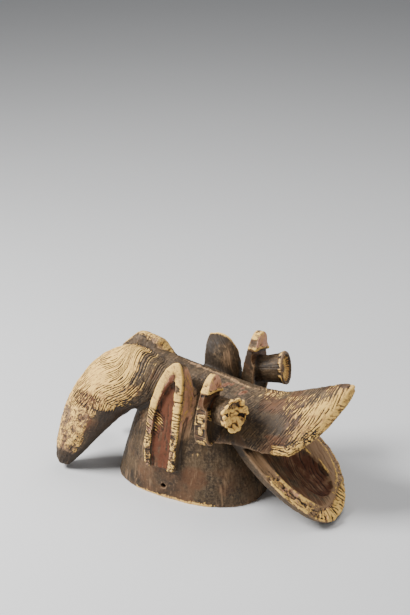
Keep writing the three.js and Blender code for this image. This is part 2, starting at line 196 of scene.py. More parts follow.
# Marks all over the wood
ADZE_BOWL = (24, 2.6, 400)
GRIT_SIZE = 5
WAVE_SIZE = 42

# Patterns of the painted wood: scale, detail, roughness and distortion of each noise
PATTERNS = {
    "mottle": (42.0, 6.0, 0.62),
    "blotch": (14.0, 4.0, 0.55),
    "speck": (260.0, 5.0, 0.65),
    "fine": (900.0, 3.0, 0.6),
    "curly": (95.0, 1.5, 0.5, 1.8),
}
STREAK = (0.030, 1.1, 1)
BRUSH_MARK = (0.09, 1.4, 1)
RELIEF = {"Strength": 0.8, "Distance": 0.0012}

# Studio, in metres
FLOOR_SIZE = 14
LIGHTS = {
    "key": {"size": 0.8, "place": (-1.25, -0.85, 1.6)},
    "top": {"size": 1.4, "place": (0.3, 0.7, 1.9)},
    "fill": {"size": 1.6, "place": (1.9, -1.0, 1.1)},
}
LIGHT_AIM = (0, 0, 0.1)
ROOM_COLOUR = (0.62, 0.64, 0.67, 1)
ROOM_STRENGTH = 0.25

# The dark pigment also carries painted shade laid under and between forms
PIGMENTS = ("cream", "pink", "red", "dark", "tan", "rust", "curl")


class MaskCarving(bpy.types.PropertyGroup):
    """How finely the block is carved"""

    grain: FloatProperty(
        name="Grain", description="Distance between the points of the carved surface",
        default=0.00125, min=0.0008, max=0.005, unit="LENGTH")
    triangles: IntProperty(
        name="Triangles", description="Most triangles that the finished carving has", default=196000)
    rounding: IntProperty(
        name="Rounding", description="Rounds of smoothing that blend the forms of the block", default=70)
    unevenness: FloatProperty(
        name="Unevenness", description="Height of the slow waves that hand carving leaves, in millimetres",
        default=1.3)
    adze_depth: FloatProperty(
        name="Adze depth", description="Depth of the bowls left by the adze, in millimetres", default=0.55)
    cut_depth: FloatProperty(
        name="Cut depth", description="Depth of the deepest cuts, in millimetres", default=1.7)
    grit: FloatProperty(
        name="Grit", description="Height of the small bumps in the wood, in millimetres", default=0.25)


def colour_setting(name, description, default):
    """Setting that holds a colour"""
    return FloatVectorProperty(name=name, description=description, subtype="COLOR", default=default)


class MaskColours(bpy.types.PropertyGroup):
    """Wood and pigments"""

    # Dark wood is also the colour of the painted shade
    wood_dark: colour_setting("Dark wood", "Wood in its pores and hollows", (0.026, 0.0165, 0.0090))
    wood_mid: colour_setting("Worn wood", "Handled wood", (0.092, 0.055, 0.025))
    wood_grey: colour_setting("Grey wood", "Dusty, weathered wood", (0.160, 0.108, 0.060))
    tan: colour_setting("Bare wood", "Wood where its skin is rubbed off", (0.385, 0.230, 0.120))
    rust: colour_setting("Rusty stain", "Reddish stain in the wood", (0.150, 0.060, 0.024))
    red: colour_setting("Camwood", "Red pigment", (0.140, 0.042, 0.018))
    pink: colour_setting("Pale camwood", "Red pigment mixed with clay", (0.780, 0.390, 0.230))
    cream: colour_setting("Kaolin", "Pale clay pigment", (1.000, 0.625, 0.170))
    cream_worn: colour_setting("Worn kaolin", "Pale clay with dirt in it", (0.500, 0.270, 0.092))


class MaskStudio(bpy.types.PropertyGroup):
    """Camera, floor and light"""

    camera_place: FloatVectorProperty(
        name="Camera place", description="Where the camera stands, about the rim's middle",
        subtype="TRANSLATION", default=(0.9174, -1.8005, 1.2383))
    camera_turn: FloatProperty(
        name="Camera turn", description="Direction that the camera looks in, from +X towards +Y",
        subtype="ANGLE", default=math.radians(116.563))
    camera_tilt: FloatProperty(
        name="Camera tilt", description="How far the camera looks down", subtype="ANGLE",
        default=math.radians(24.967))
    lens: FloatProperty(name="Lens", description="Focal length in millimetres", default=85)
    floor_colour: colour_setting("Floor", "Pale floor", (0.78, 0.78, 0.78))
    key_power: FloatProperty(name="Key light", description="Power of the main soft light", default=84)
    top_power: FloatProperty(name="Top light", description="Power of the overhead light", default=20)
    fill_power: FloatProperty(name="Fill light", description="Power of the fill light", default=8)


def unit(vector):
    """The vector at length 1"""
    return np.asarray(vector, float) / np.linalg.norm(vector)


def rise(value, low, high):
    """Smooth step from 0 at low to 1 at high"""
    share = np.clip((value - low) / (high - low), 0, 1)
    return share * share * (3 - 2 * share)


def fall(value, low, high):
    """Smooth step from 1 at low to 0 at high"""
    return 1 - rise(value, low, high)


def span(value, start, full, fading, end):
    """Smooth rise from start to full, and fall from fading to end"""
    return rise(value, start, full) * fall(value, fading, end)


def columns(*values):
    """Numbers side by side, as places of points"""
    return np.stack(np.broadcast_arrays(*values), axis=1)


def spots(points, table, size=1):
    """Spots of a table by name: each is 1 round its middle and fades to 0 at its reach along each axis"""
    amounts = {}
    for name, (middle, reach) in table.items():
        away = np.linalg.norm((points - np.multiply(middle, size)) / np.asarray(reach, float), axis=1)
        amounts[name] = fall(away, SPOT_CORE, 1)
    return amounts


def scramble(cells, seed):
    """Even random numbers from 0 to 1, one for each cell of a grid"""
    keys = cells.astype(np.int64).astype(np.uint64)
    mixed = keys[:, 0] * np.uint64(0x9E3779B97F4A7C15)
    mixed ^= keys[:, 1] * np.uint64(0xC2B2AE3D27D4EB4F)
    mixed ^= keys[:, 2] * np.uint64(0x165667B19E3779F9)
    mixed += np.uint64(0x27D4EB2F165667C5 * (seed + SEED) & 0xFFFFFFFFFFFFFFFF)
    mixed ^= mixed >> np.uint64(29)
    mixed *= np.uint64(0xBF58476D1CE4E5B9)
    mixed ^= mixed >> np.uint64(32)
    return (mixed & np.uint64(0xFFFFFF)) / float(0x1000000)


def noise(points, size, seed):
    """Soft noise from 0 to 1; size is that of its blobs, alike or one for each axis"""
    places = points / np.asarray(size, float)
    corner = np.floor(places)
    part = places - corner
    part = part * part * (3 - 2 * part)
    total = 0
    for step in itertools.product((0, 1), repeat=3):
        weight = np.prod(np.where(step, part, 1 - part), axis=1)
        total = total + weight * scramble(corner + step, seed)
    return total


def patches(points, size, seed, low, high):
    """Noise drawn apart into patches of 0, up to low, and of 1, from high"""
    return rise(noise(points, size, seed), low, high)


def rough(points, size, seed):
    """Noise of three sizes together"""
    size = np.asarray(size, float)
    layers = [noise(points, size / 2 ** k, seed + k) * 2.0 ** -k for k in range(3)]
    return sum(layers) / 1.75


def bowls(points, size, seed):
    """Bowls side by side: how far each point is from the middle of its own and from its edge"""
    places = points / np.asarray(size, float)
    corner = np.floor(places)
    nearest = np.full(len(points), 9.0)
    second = np.full(len(points), 9.0)
    for step in itertools.product((-1, 0, 1), repeat=3):
        cell = corner + step
        heart = cell + np.stack([scramble(cell, seed + k) for k in range(3)], axis=1)
        away = np.linalg.norm(places - heart, axis=1)
        second = np.minimum(second, np.maximum(nearest, away))
        nearest = np.minimum(nearest, away)
    return nearest, second - nearest


def stretches(line, places):
    """Each stretch of a line: its direction and length, how far along it each place lies and its offset"""
    for start, end in zip(line[:-1], line[1:]):
        way = end - start
        length = np.linalg.norm(way)
        if length > 0:
            share = np.clip((places - start) @ way / length ** 2, 0, 1)
            yield way, length, share, places - start - share[:, None] * way


def trace(line, places, closed=False):
    """Nearest point on a line: its distance, how far along the line it is, and the offset from it"""
    ends = np.vstack([line, line[:1]]) if closed else line
    nearest = np.full(len(places), np.inf)
    along = np.zeros(len(places))
    offset = np.zeros(places.shape)
    travelled = 0.0
    for _, length, share, apart in stretches(ends, places):
        away = np.linalg.norm(apart, axis=1)
        closer = away < nearest
        nearest[closer] = away[closer]
        along[closer] = travelled + share[closer] * length
        offset[closer] = apart[closer]
        travelled += length
    return nearest, along, offset


def beyond(line, places):
    """Distance from a line in a plane, above 0 on its left side and below 0 on its right"""
    nearest = np.full(len(places), np.inf)
    side = np.ones(len(places))
    for way, _, _, apart in stretches(np.asarray(line, float), places):
        away = np.linalg.norm(apart, axis=1)
        closer = away < nearest
        nearest[closer] = away[closer]
        side[closer] = np.sign(way[0] * apart[closer, 1] - way[1] * apart[closer, 0])
    return nearest * side


def within(line, places):
    """Which places lie inside a closed line"""
    inside = np.zeros(len(places), bool)
    x, y = places.T
    for (x0, y0), (x1, y1) in zip(line, np.roll(line, -1, axis=0)):
        if y0 != y1:
            crossing = x0 + (y - y0) / (y1 - y0) * (x1 - x0)
            inside ^= ((y0 > y) != (y1 > y)) & (x < crossing)
    return inside


def bent(start, control, end, steps=8):
    """Points of a curve from start to end, drawn towards its control"""
    t = np.linspace(0, 1, steps, endpoint=False)[:, None]
    start, control, end = (np.array(place, float) for place in (start, control, end))
    return (1 - t) ** 2 * start + 2 * t * (1 - t) * control + t ** 2 * end


def smooth_line(rows, count):
    """Smooth curve through rows of numbers"""
    rows = np.array(rows, float)
    rows = np.vstack([2 * rows[0] - rows[1], rows, 2 * rows[-1] - rows[-2]])
    places = np.linspace(0, len(rows) - 3 - 1e-9, count)
    first = np.floor(places).astype(int)
    t = (places - first)[:, None]
    a, b, c, d = (rows[first + k] for k in range(4))
    square, cube = 2 * a - 5 * b + 4 * c - d, 3 * b - a - 3 * c + d
    return 0.5 * (2 * b + (c - a) * t + square * t ** 2 + cube * t ** 3)


class Place:
    """Origin and directions of one form, for reading points in its own millimetres"""

    def __init__(self, origin, *directions):
        self.origin = np.array(origin, float)
        self.directions = np.array([unit(direction) for direction in directions])

    def read(self, points):
        return (points - self.origin) @ self.directions.T

    def turn(self, vectors):
        return vectors @ self.directions.T


class Surface:
    """The carving's mesh as numbers, in millimetres about the rim's middle"""

    def __init__(self, mesh, middle):
        self.mesh = mesh
        self.middle = middle
        count = len(mesh.vertices)
        places = np.empty(count * 3, np.float32)
        mesh.vertices.foreach_get("co", places)
        self.points = places.reshape(-1, 3).astype(float) / MM - middle
        ends = np.empty(len(mesh.edges) * 2, np.int32)
        mesh.edges.foreach_get("vertices", ends)
        self.ends = ends.reshape(-1, 2)
        self.neighbours = np.bincount(ends, minlength=count).clip(1)

    def averaged(self, values):
        """Mean of each point's neighbours"""
        first, last = self.ends.T
        count = len(self.neighbours)
        sums = [
            np.bincount(first, column[last], count) + np.bincount(last, column[first], count)
            for column in values.reshape(count, -1).T
        ]
        return (np.stack(sums, axis=1) / self.neighbours[:, None]).reshape(values.shape)

    def softened(self, values, rounds, share=0.5):
        """Values spread over the surface; share is how much of each round is taken"""
        share = np.asarray(share, float)
        if share.ndim and values.ndim > 1:
            share = share[:, None]
        for _ in range(rounds):
            values = values + share * (self.averaged(values) - values)
        return values

    def write(self):
        places = ((self.points + self.middle) * MM).astype(np.float32)
        self.mesh.vertices.foreach_set("co", places.ravel())
        self.mesh.update()

    def normals(self):
        """Outward directions at the points, read back from the mesh"""
        self.write()
        directions = np.empty(len(self.points) * 3, np.float32)
        self.mesh.vertex_normals.foreach_get("vector", directions)
        return directions.reshape(-1, 3).astype(float)


class Finish:
    """What is cut, painted and combed at each point.

    The flow of a point is how far along the strokes it lies, which stroke across them it is on, counted in
    strokes, and a number that sets its form apart. The cut is the depth of the grooves between the strokes.
    """

    def __init__(self, surface, normals):
        count = len(surface.points)
        self.points = surface.points
        self.normals = normals
        self.free = np.ones(count, bool)
        self.height = np.zeros(count)
        self.rounding = np.ones(count)
        self.unevenness = np.ones(count)
        self.adze = np.zeros(count)
        self.cut = np.zeros(count)
        self.flow = np.zeros((count, 3))
        self.paint = {name: np.zeros(count) for name in PIGMENTS}

    def claim(self, chosen):
        """Indices of the chosen points that no earlier form has taken"""
        found = np.flatnonzero(chosen & self.free)
        self.free[found] = False
        return found

    def claim_among(self, maybe, chosen):
        """The same for points given by their indices, and which of these were taken"""
        taken = chosen & self.free[maybe]
        self.free[maybe[taken]] = False
        return maybe[taken], taken

    def wear(self, found, rounding=1.0, unevenness=1.0, adze=0.0):
        """How much the found points are worn round and uneven, and how deep the marks of the adze are"""
        self.rounding[found] = rounding
        self.unevenness[found] = unevenness
        self.adze[found] = adze

    def add(self, found, **amounts):
        """Paint on the found points; each amount is from 0 to 1, and the most of any counts"""
        for name, amount in amounts.items():
            self.paint[name][found] = np.maximum(self.paint[name][found], amount)

    def stroke(self, found, along, across, cut, seed, spacing, length=16):
        """Lays strokes by how far along and across them each point is; the cut is a share of the deepest

        The grooves between strokes wander sideways, and each fades in and out along its length.
        """
        kind = np.full_like(along, seed)
        slow = noise(columns(along / 34, across / (3 * spacing), kind), 1, seed)
        quick = noise(columns(along / 11, across / (1.6 * spacing), kind), 1, seed + 1)
        number = across / spacing + 1.0 * slow + 0.5 * quick
        fading = noise(columns(along / length, np.round(number), kind), 1, seed + 2)
        self.flow[found] = columns(along, number, 7.0 * kind)
        self.cut[found] = cut * (0.2 + 0.8 * rise(fading, 0.25, 0.6))


def grooves(number):
    """1 at the bottom of the groove between two strokes and 0 on the strokes"""
    return rise(np.abs(number - np.floor(number) - 0.5) * 2, *GROOVE_WALL)


def carve_hollow(finish):
    """Inside of the bell: broad gouge marks, dark from handling"""
    x, y, z = finish.points.T
    share = np.clip(z / HOLLOW["top"], 0, 0.999)
    narrowing = (1 - share ** HOLLOW["bulge"]) ** (1 / HOLLOW["bulge"])
    half_length = HOLLOW["half_length"] - HOLLOW["lean"] * share ** 1.2
    half_width = np.maximum(HOLLOW["half_width"] * narrowing, HOLLOW_CROWN)
    power = HOLLOW["power"]
    inside = (np.abs(x) / half_length) ** power + (np.abs(y) / half_width) ** power
    found = finish.claim((inside < 1.12) & (z < HOLLOW["top"] + 6) & (z > 0.6))
    at = finish.points[found]
    girth = np.arctan2(at[:, 1], at[:, 0] * 0.7) * 80
    finish.stroke(found, at[:, 2], girth, 0, *STROKES["hollow"])
    _, edge = bowls(columns(at[:, 2], girth, 0), GOUGE_MARK, 11)
    finish.height[found] += 1.1 * fall(edge, 0, 0.5) - 0.5
    finish.add(found, dark=0.35 + 0.25 * rough(at, 30, 12), rust=0.25 * patches(at, 40, 13, 0.45, 0.7))


def carve_mouth(finish):
    """Roof of the mouth under the upper jaw, with a pale notched edge"""
    x, y, z = finish.points.T
    normal = finish.normals
    slope = (JAW_ROOT[1] - JAW_TIP[1]) / (JAW_TIP[0] - JAW_ROOT[0])
    above_jaw = z > JAW_ROOT[1] - slope * (x - JAW_ROOT[0]) + MOUTH_ROOF
    inward = (normal[:, 2] < -0.25) | (normal[:, 1] * np.sign(y) < -0.35)
    found = finish.claim((x > JAW_ROOT[0]) & above_jaw & inward)
    at = finish.points[found]
    away, along, _ = trace(np.array(LIP, float), at[:, [0, 2]])
    edge = fall(away, 3, 7) * rise(at[:, 0], 150, 165)
    notched = edge > 0.3
    finish.stroke(found, np.where(notched, away, at[:, 0]), np.where(notched, along, at[:, 1]),
                  0.18 + 0.65 * edge, *STROKES["mouth"])
    finish.wear(found, 0.4)
    finish.add(found, dark=0.45, rust=0.3, cream=0.55 * edge)


def eye_place(eye):
    """Place of an eye's open end: along the tube, sideways and up"""
    side = eye["side"]
    outward, upward = math.radians(eye["outward"]), math.radians(eye["upward"])
    level = math.cos(upward)
    aim = (level * math.cos(outward), side * level * math.sin(outward), math.sin(upward))
    across = np.cross((0, 0, 1), aim)
    return Place((eye["x"], side * EYE_END["y"], EYE_END["z"]), aim, across, np.cross(aim, across))


def carve_eye(finish, eye, plate):
    """Eye tube in front of its plate: the right one is eroded, the left one keeps its rim and dish"""
    radius = EYE_RADIUS * eye["size"]
    own = eye_place(eye).read(finish.points)
    away = np.hypot(own[:, 1], own[:, 2])
    in_front = finish.points[:, 0] > PLATE["x"] + plate["thickness"] - 1
    in_tube = (own[:, 0] > EYE_ROOM["back"] - EYE_LENGTH) & (own[:, 0] < EYE_ROOM["front"])
    found = finish.claim(in_tube & (away < radius + EYE_ROOM["round"]) & in_front)
    own, away = own[found], away[found]
    angle = np.arctan2(own[:, 2], own[:, 1])
    finish.wear(found, 0.12, 0.7)
    carve_end = carve_eroded_eye if eye["side"] < 0 else carve_whole_eye
    carve_end(finish, found, own, away, angle, radius)


def carve_whole_eye(finish, found, own, away, angle, radius):
    """Left eye: a dark tube, a pale line round its flare, a pale dish and a brown middle"""
    depth = own[:, 0]
    finish.stroke(found, depth, angle * 24, 0.2, *STROKES["whole_eye"])
    line = rise(depth, -11, -8) * rise(away, radius - 4, radius - 2) * fall(depth, -4, -2)
    dish = rise(depth, -12, -8) * fall(away, radius - 9, radius - 6)
    centre = fall(away, 5, 9)
    notch = patches(columns(angle * radius, away, depth), (5, 9, 9), 31, 0.5, 0.7)
    finish.height[found] -= 1.3 * notch * line + 1.0 * dish * noise(finish.points[found], 4, 33)
    finish.add(found, cream=np.maximum(0.7 * line * (1 - notch), dish * (1 - centre)),
               tan=0.45 * dish * centre + 0.2 * (1 - dish), dark=0.35 * (1 - dish) + 0.25 * line * notch)


def carve_eroded_eye(finish, found, own, away, angle, radius):
    """Right eye: worn to lumps with brown seams, a few pits and a slot in its end"""
    at = finish.points[found]
    depth = own[:, 0]
    finish.stroke(found, depth, angle * 24, 0.15, *STROKES["eroded_eye"])
    end = rise(depth, -15, -5)
    tube = 1 - end
    warped = at + 8 * columns(*(noise(at, 12, 46 + axis) - 0.5 for axis in range(3)))
    middle, edge = bowls(warped, 12.5, 41)
    lumps = fall(middle, 0.1, 0.85)
    seams = fall(edge, 0.06, 0.34) * patches(at, 9, 49, 0.3, 0.55)
    fill = fall(away, radius - 13, radius - 3)
    on = spots(own[:, 1:], EYE_SPOTS)
    slot = on["slot"] * rise(depth, -13, -8)
    holes = on["hole"] + 0.6 * on["dent"]
    finish.height[found] += end * (5 * lumps + 4 * (rough(at, 14, 42) - 0.5) - 2 * seams + 3.5 * fill - 2.6)
    finish.height[found] += 2.6 * (rough(at, 17, 44) - 0.5) * tube - (2.6 * slot + 4.5 * holes) * end
    hollow = np.clip(0.35 * seams + 0.7 * slot + holes, 0, 1)
    finish.add(found, cream=end * (1 - 0.75 * hollow), tan=0.7 * end * hollow + 0.12,
               rust=0.5 * hollow * end, dark=0.3 * tube + 0.75 * holes * end,
               pink=0.2 * tube * patches(at, 14, 45, 0.45, 0.6))


def plate_outline():
    """Egg-shaped outline of a plate: across from its middle and up from its foot"""
    size = np.array((PLATE["half_width"], PLATE["height"]), float)
    low, high, shoulder = (size * PLATE_OUTLINE[name] for name in ("low", "high", "shoulder"))
    foot, top, crown = size * (PLATE_OUTLINE["foot"], 0), size * (0, 1), size * (PLATE_OUTLINE["crown"], 1)
    t = np.linspace(0, 1, 12, endpoint=False)[:, None]
    flank = (1 - t) ** 3 * foot + 3 * t * (1 - t) ** 2 * low
    flank = flank + 3 * t ** 2 * (1 - t) * high + t ** 3 * shoulder
    right = np.vstack([flank, bent(shoulder, crown, top)])
    return np.vstack([right, [top], (right * (-1, 1))[::-1]])


def claim_plate(finish, plate):
    """Points of a plate: their indices, and their places forward, outward and up from its foot"""
    side = plate["side"]
    place = Place((PLATE["x"], side * PLATE["y"], PLATE["z"]), (1, 0, 0), (0, side, 0), (0, 0, 1))
    own = place.read(finish.points)
    depth, out, up = own.T
    past = PLATE_ROOM["end"]
    inside = (depth > -past) & (depth < plate["thickness"] + past) & (up > -past)
    inside &= (up < PLATE["height"] + past) & (np.abs(out) < PLATE["half_width"] + PLATE_ROOM["side"])
    found = finish.claim(inside)
    return found, own[found]


def carve_plate(finish, plate):
    """Plate behind an eye: pitted edge band, red top over a ledge, scoop and cup, with painted shade under
    the ledge and in the cup and painted light on the red top
    """
    side = plate["side"]
    near = side < 0
    found, own = claim_plate(finish, plate)
    at, ahead = finish.points[found], finish.normals[found, 0]
    depth, out, up = own.T
    _, along, _ = trace(plate_outline(), own[:, 1:], closed=True)
    finish.wear(found, 0.13, 0.7)
    band = fall(np.abs(ahead), 0.5, 0.75)
    front = rise(ahead, 0.3, 0.6)
    level = (at[:, 2] - SCOOP["z"]) * math.cos(SCOOP["slope"]) + side * out * math.sin(SCOOP["slope"])
    level = level + 6 * (rough(at, 22, 50) - 0.5)
    above = rise(level, 15, 19)
    below = fall(level, -14, -8)
    ledge = span(level, 10, 13, 15, 19)
    # Groove under the ledge, which is also painted dark as shade
    under = span(level, 4, 8, 8.5, 11)
    notch = span(level, 19, 23, 25, 31) * band * rise(depth, 2, 9) * patches(at, 7, 55, 0.3, 0.6)
    scoop = span(level, -13, -8, 8, 11) * rise(depth, 2, 9)
    outer = rise(out, -12, 4) if near else rise(up, 88, 100)
    faces = front + band * outer
    blocks = patches(columns(along, depth, 0), (7, 6, 9), 54, 0.38, 0.56)
    finish.stroke(found, depth, along + 2.5 * noise(own, 9, 57),
                  band * below * outer * (0.2 + 0.35 * blocks) * rise(depth, 2, 7), *STROKES["plate"])
    finish.height[found] += (1.2 * ledge - 1.5 * under) * faces - 1.5 * scoop * band * outer - 1.3 * notch
    finish.height[found] -= 1.2 * front * above * patches(at, 6, 53, 0.42, 0.7)
    finish.height[found] -= 1.4 * blocks * band * below * outer
    reach = np.hypot(out / PLATE_CUP["half_width"], (up - PLATE_CUP["up"]) / PLATE_CUP["half_height"])
    cup = front * below * fall(reach, 0.85, 1.02)
    cap = rise(out, 16, 22) if near else 0 * out
    worn = patches(at, 7, 58, 0.35, 0.65)
    bare = fall(depth, 3, 8) * fall(up, 34, 50)
    cream = band * outer * (below * (0.8 - 0.66 * blocks - 0.5 * bare) + above * (0.98 - 0.4 * notch))
    cream = cream * (1 if near else 0.45 + 0.5 * worn) + front * above * cap * 0.9
    patch = front * above * (1 - cap) * (1 - ledge)
    # Kaolin on the red top: partly worn clay, partly painted light on a front face that the lights leave
    # dim
    cream = cream * (1 - scoop) + (0.45 + 0.3 * worn) * ledge * faces + 0.45 * patch * worn
    tan = 0.36 * scoop * front + 0.5 * front * below * (1 - cup) + 0.3 * band * outer * (1 - scoop)
    # Painted shade in the cup behind the eye and under the ledge
    dark = 0.4 * cup + 0.5 * band * (1 - outer) + 0.6 * under * faces + 0.2 * (ahead < -0.4)
    finish.add(found, cream=np.clip(cream, 0, 1), red=0.45 * patch * patches(at, (9, 5, 4), 59, 0.4, 0.6),
               pink=patch + 0.25 * band * outer * below * blocks * worn,
               tan=tan, rust=0.7 * scoop + 0.5 * blocks * band,
               dark=dark + 0.4 * notch + (0.15 if near else 0.45) * scoop * band,
               curl=band * outer * (0.45 * above + 0.5 * below))


def ear_shape(ear):
    """Place of an ear's outer face, from its foot, and its height"""
    side = ear["side"]
    foot = np.array((ear["x"], side * EAR_FOOT["y"], EAR_FOOT["z"]), float)
    top = np.array((ear["x"], side * EAR_TOP["y"], EAR_TOP["z"]), float)
    up = unit(top - foot)
    height = np.linalg.norm(top - foot) * ear["tall"]
    return Place(foot, (1, 0, 0), up, (0, side * up[2], abs(up[1]))), height


def ear_outline(ear, height):
    """Outline of an ear's face: along the mask and up the ear"""
    rear, front, crown = ear["rear"], ear["front"], ear["crown"]
    line = EAR_OUTLINE
    shoulder = (-rear * ear["out"], height * ear["up"])
    foot = (-rear * line["foot"], 0)
    return np.vstack([
        np.array([foot, (front, 0)], float),
        bent((front + 1, height * line["front_top"]), (front + 1, height), (crown, height)),
        bent((crown, height), (crown - rear * ear["corner"], height * line["crown_drop"]), shoulder),
        bent(shoulder, (-rear * line["flank_out"], height * line["flank_up"]), foot),
    ])


def claim_ear(finish, ear, place, height):
    """Points of an ear: indices and own places, and their distance from, along and outside its outline"""
    own = place.read(finish.points)
    x, up, out = own.T
    beside = (np.abs(x) < EAR_ROOM["half_length"]) & (out > -EAR_DEPTH) & (out < EAR_ROOM["over"])
    maybe = np.flatnonzero(beside & (up > -EAR_ROOM["end"]) & (up < height + EAR_ROOM["end"]))
    own = own[maybe]
    outline = ear_outline(ear, height)
    away, along, _ = trace(np.roll(outline, -1, axis=0), own[:, :2])
    outside = np.where(within(outline, own[:, :2]), 0, away)
    bulge = (ear["bulge"] + 2) * np.sin(np.clip(own[:, 1] / height, 0, 1) * math.pi) * (own[:, 0] > 0)
    found, taken = finish.claim_among(maybe, outside < EAR_ROOM["round"] + bulge)
    return found, own[taken], away[taken], along[taken], outside[taken]


def ear_zones(own, away, outside, outward):
    """Pale border of an ear's face, the slope inside it and the red channel, each from 0 to 1"""
    depth = -own[:, 2]
    ragged = 7 * (rough(own, (9, 11, 30), 60) - 0.5)
    slope = rise(away + ragged, EAR_BORDER - 0.5, EAR_BORDER + 1.5)
    border = rise(-depth, -4.5, -2.8) * (1 - slope)
    hollow = rise(-depth, -6, -3) * slope
    facing = rise(outward, 0.25, 0.55)
    channel = span(depth, 4.2, 5.4, 9, 10.5) * facing * rise(away, 7, 10) * (outside == 0)
    return border, hollow, channel


def carve_ear(finish, ear):
    """Ear: pale border with cuts, blocks and curls round a red channel, and streaked brown walls, with
    painted light on the near wall's streak and painted shade at the walls' foot
    """
    near = ear["side"] < 0
    place, height = ear_shape(ear)
    found, own, away, along, outside = claim_ear(finish, ear, place, height)
    normal = place.turn(finish.normals[found])
    x, up, out = own.T
    share = up / height
    on = spots(own, EAR_SPOTS, (1, height, 1))
    border, hollow, channel = ear_zones(own, away, outside, normal[:, 2])
    walls = (1 - border) * (1 - channel) * (1 - hollow)
    ladder = border * rise(x, 4, 9) * fall(share, 0.66, 0.74) * rise(share, 0.3, 0.38)
    low = border * fall(share, 0.36, 0.44)
    thin = border * rise(share, 0.5, 0.7) * 0.3
    fan = on["fan"] * (border + channel)
    scored, edging = fan > 0.25, border > 0.5
    seed, spacing = STROKES["ear"]
    finish.stroke(found, np.where(scored, x, np.where(edging, away, up)),
                  np.where(scored, up * 0.82 + x * 0.57, np.where(edging, along, out + x)),
                  0.6 * ladder + 0.3 * low + 0.95 * fan + 0.4 * thin + 0.25 * channel + 0.22 * walls,
                  seed, np.where(scored, FAN_SPACING, spacing))
    finish.wear(found, np.where(border + channel + hollow > 0.4, 0.1, 0.22), 0.8, 0.9 * channel)
    blocks = patches(columns(along, away, 0), (8, 6, 9), 62, 0.48, 0.62)
    strands = patches(own, (4, 34, 9), 69, 0.35, 0.65)
    chip, pit = on["chip"] * near, on["pit"] * near
    finish.height[found] -= low * 1.2 * blocks + 0.7 * chip + 1.8 * pit
    finish.height[found] += 1.8 * (noise(own, (9, 9, 6), 63) - 0.5) * border
    finish.height[found] += 2.6 * (rough(own, (14, 7, 10), 67) - 0.5) * channel
    # Streak on the near ear's front wall: partly a tan streak in the wood, partly painted light that
    # brightens a wall the lights leave in shade
    streak = rise(-out, 3, 6) * fall(-out, 12 + 18 * share, 24 + 20 * share) * rise(share, 0.22, 0.45)
    streak = streak * fall(share, 0.92, 0.98) * rise(normal[:, 0], -0.1, 0.25) * walls * rise(x, 0, 6)
    worn = rise(noise(own, (7, 38, 6), 66) + 0.2 * share, 0.42, 0.66)
    cream = border * (0.98 - 0.06 * low - 0.45 * low * blocks - 0.4 * fan) * (1 - 0.75 * chip)
    cream = np.maximum(cream, 0.48 * fan * channel) + 0.46 * streak * worn * near
    pink = 0.56 * streak * near + 0.4 * fan * border + 0.4 * low * blocks
    tan = (1.0 if near else 0.2) * (streak * (0.75 + 0.25 * worn) + 0.25 * walls * worn) + 0.3 * low
    # Dark on the ear's walls: the far ear's walls are dark wood; on the near ear the walls are a little
    # dark, and the extra dark towards the foot is painted shade under the ear
    dim = np.where(near, 0.1 + 0.3 * fall(share, 0.3, 0.45), 0.75) * fall(outside, 1, 6)
    finish.add(found, cream=np.clip(cream, 0, 1), red=(0.95 - 0.5 * strands) * channel + 0.6 * hollow,
               pink=pink + 0.75 * hollow * patches(own, 8, 68, 0.3, 0.5), tan=tan,
               dark=walls * dim * (1 - streak) + 0.55 * pit + 0.34 * channel * strands,
               rust=0.3 * walls * worn, curl=0.7 * low + 0.25 * border)
    if not near:
        top = walls * rise(share, 0.84, 0.93) * fall(-out, 4, 8)
        pale = walls * 0.75 * on["pale_wall"]
        # Painted shadow at the foot of the far ear's front wall
        finish.add(found, dark=0.7 * on["painted_shadow_wall"] * walls, cream=0.5 * top, tan=0.6 * top + 0.7 * pale)


def horn_line(horn):
    """Smooth centre line of a horn, with its crest, belly and half width"""
    rows = np.array(HORN_ROWS, float)
    behind = rows[:, 0] < HORN_TURN["x"]
    turn = HORN_TURN["row"]
    rows[behind, 0] = HORN_TURN["x"] + (rows[behind, 0] - HORN_TURN["x"]) * horn["reach"]
    rows[:, 1] *= horn["side"] * horn["spread"]
    rows[:, 2] += horn["lift"] * np.linspace(0, 1, len(rows)) ** 3
    rows[turn, 2] += horn["hump"]
    rows[turn + 1:, 3] *= horn["slim"]
    rows[:turn, 3] *= horn["root"]
    rows[:, 5] *= horn["wide"]
    return smooth_line(rows, 50)


def horn_section(line, points, side):
    """Places of points in a horn: along its line, sideways and up from it, and as a share of its radius"""
    centre = line[:, :3]
    _, along, offset = trace(centre, points)
    lengths = np.concatenate([[0], np.cumsum(np.linalg.norm(np.diff(centre, axis=0), axis=1))])
    ahead = np.stack([np.interp(along, lengths, steps) for steps in np.gradient(centre, axis=0).T], axis=1)
    ahead /= np.linalg.norm(ahead, axis=1)[:, None]
    across = np.cross(np.cross(ahead, (0, side, 0)), ahead)
    upward = np.cross(ahead, across) * -side
    crest, belly, wide = (np.interp(along, lengths, line[:, column]) for column in (3, 4, 5))
    sideways = (offset * across).sum(1)
    height = (offset * upward).sum(1)
    radius = np.hypot(height / np.where(height > 0, crest, belly), sideways / wide)
    return along, sideways, height, radius


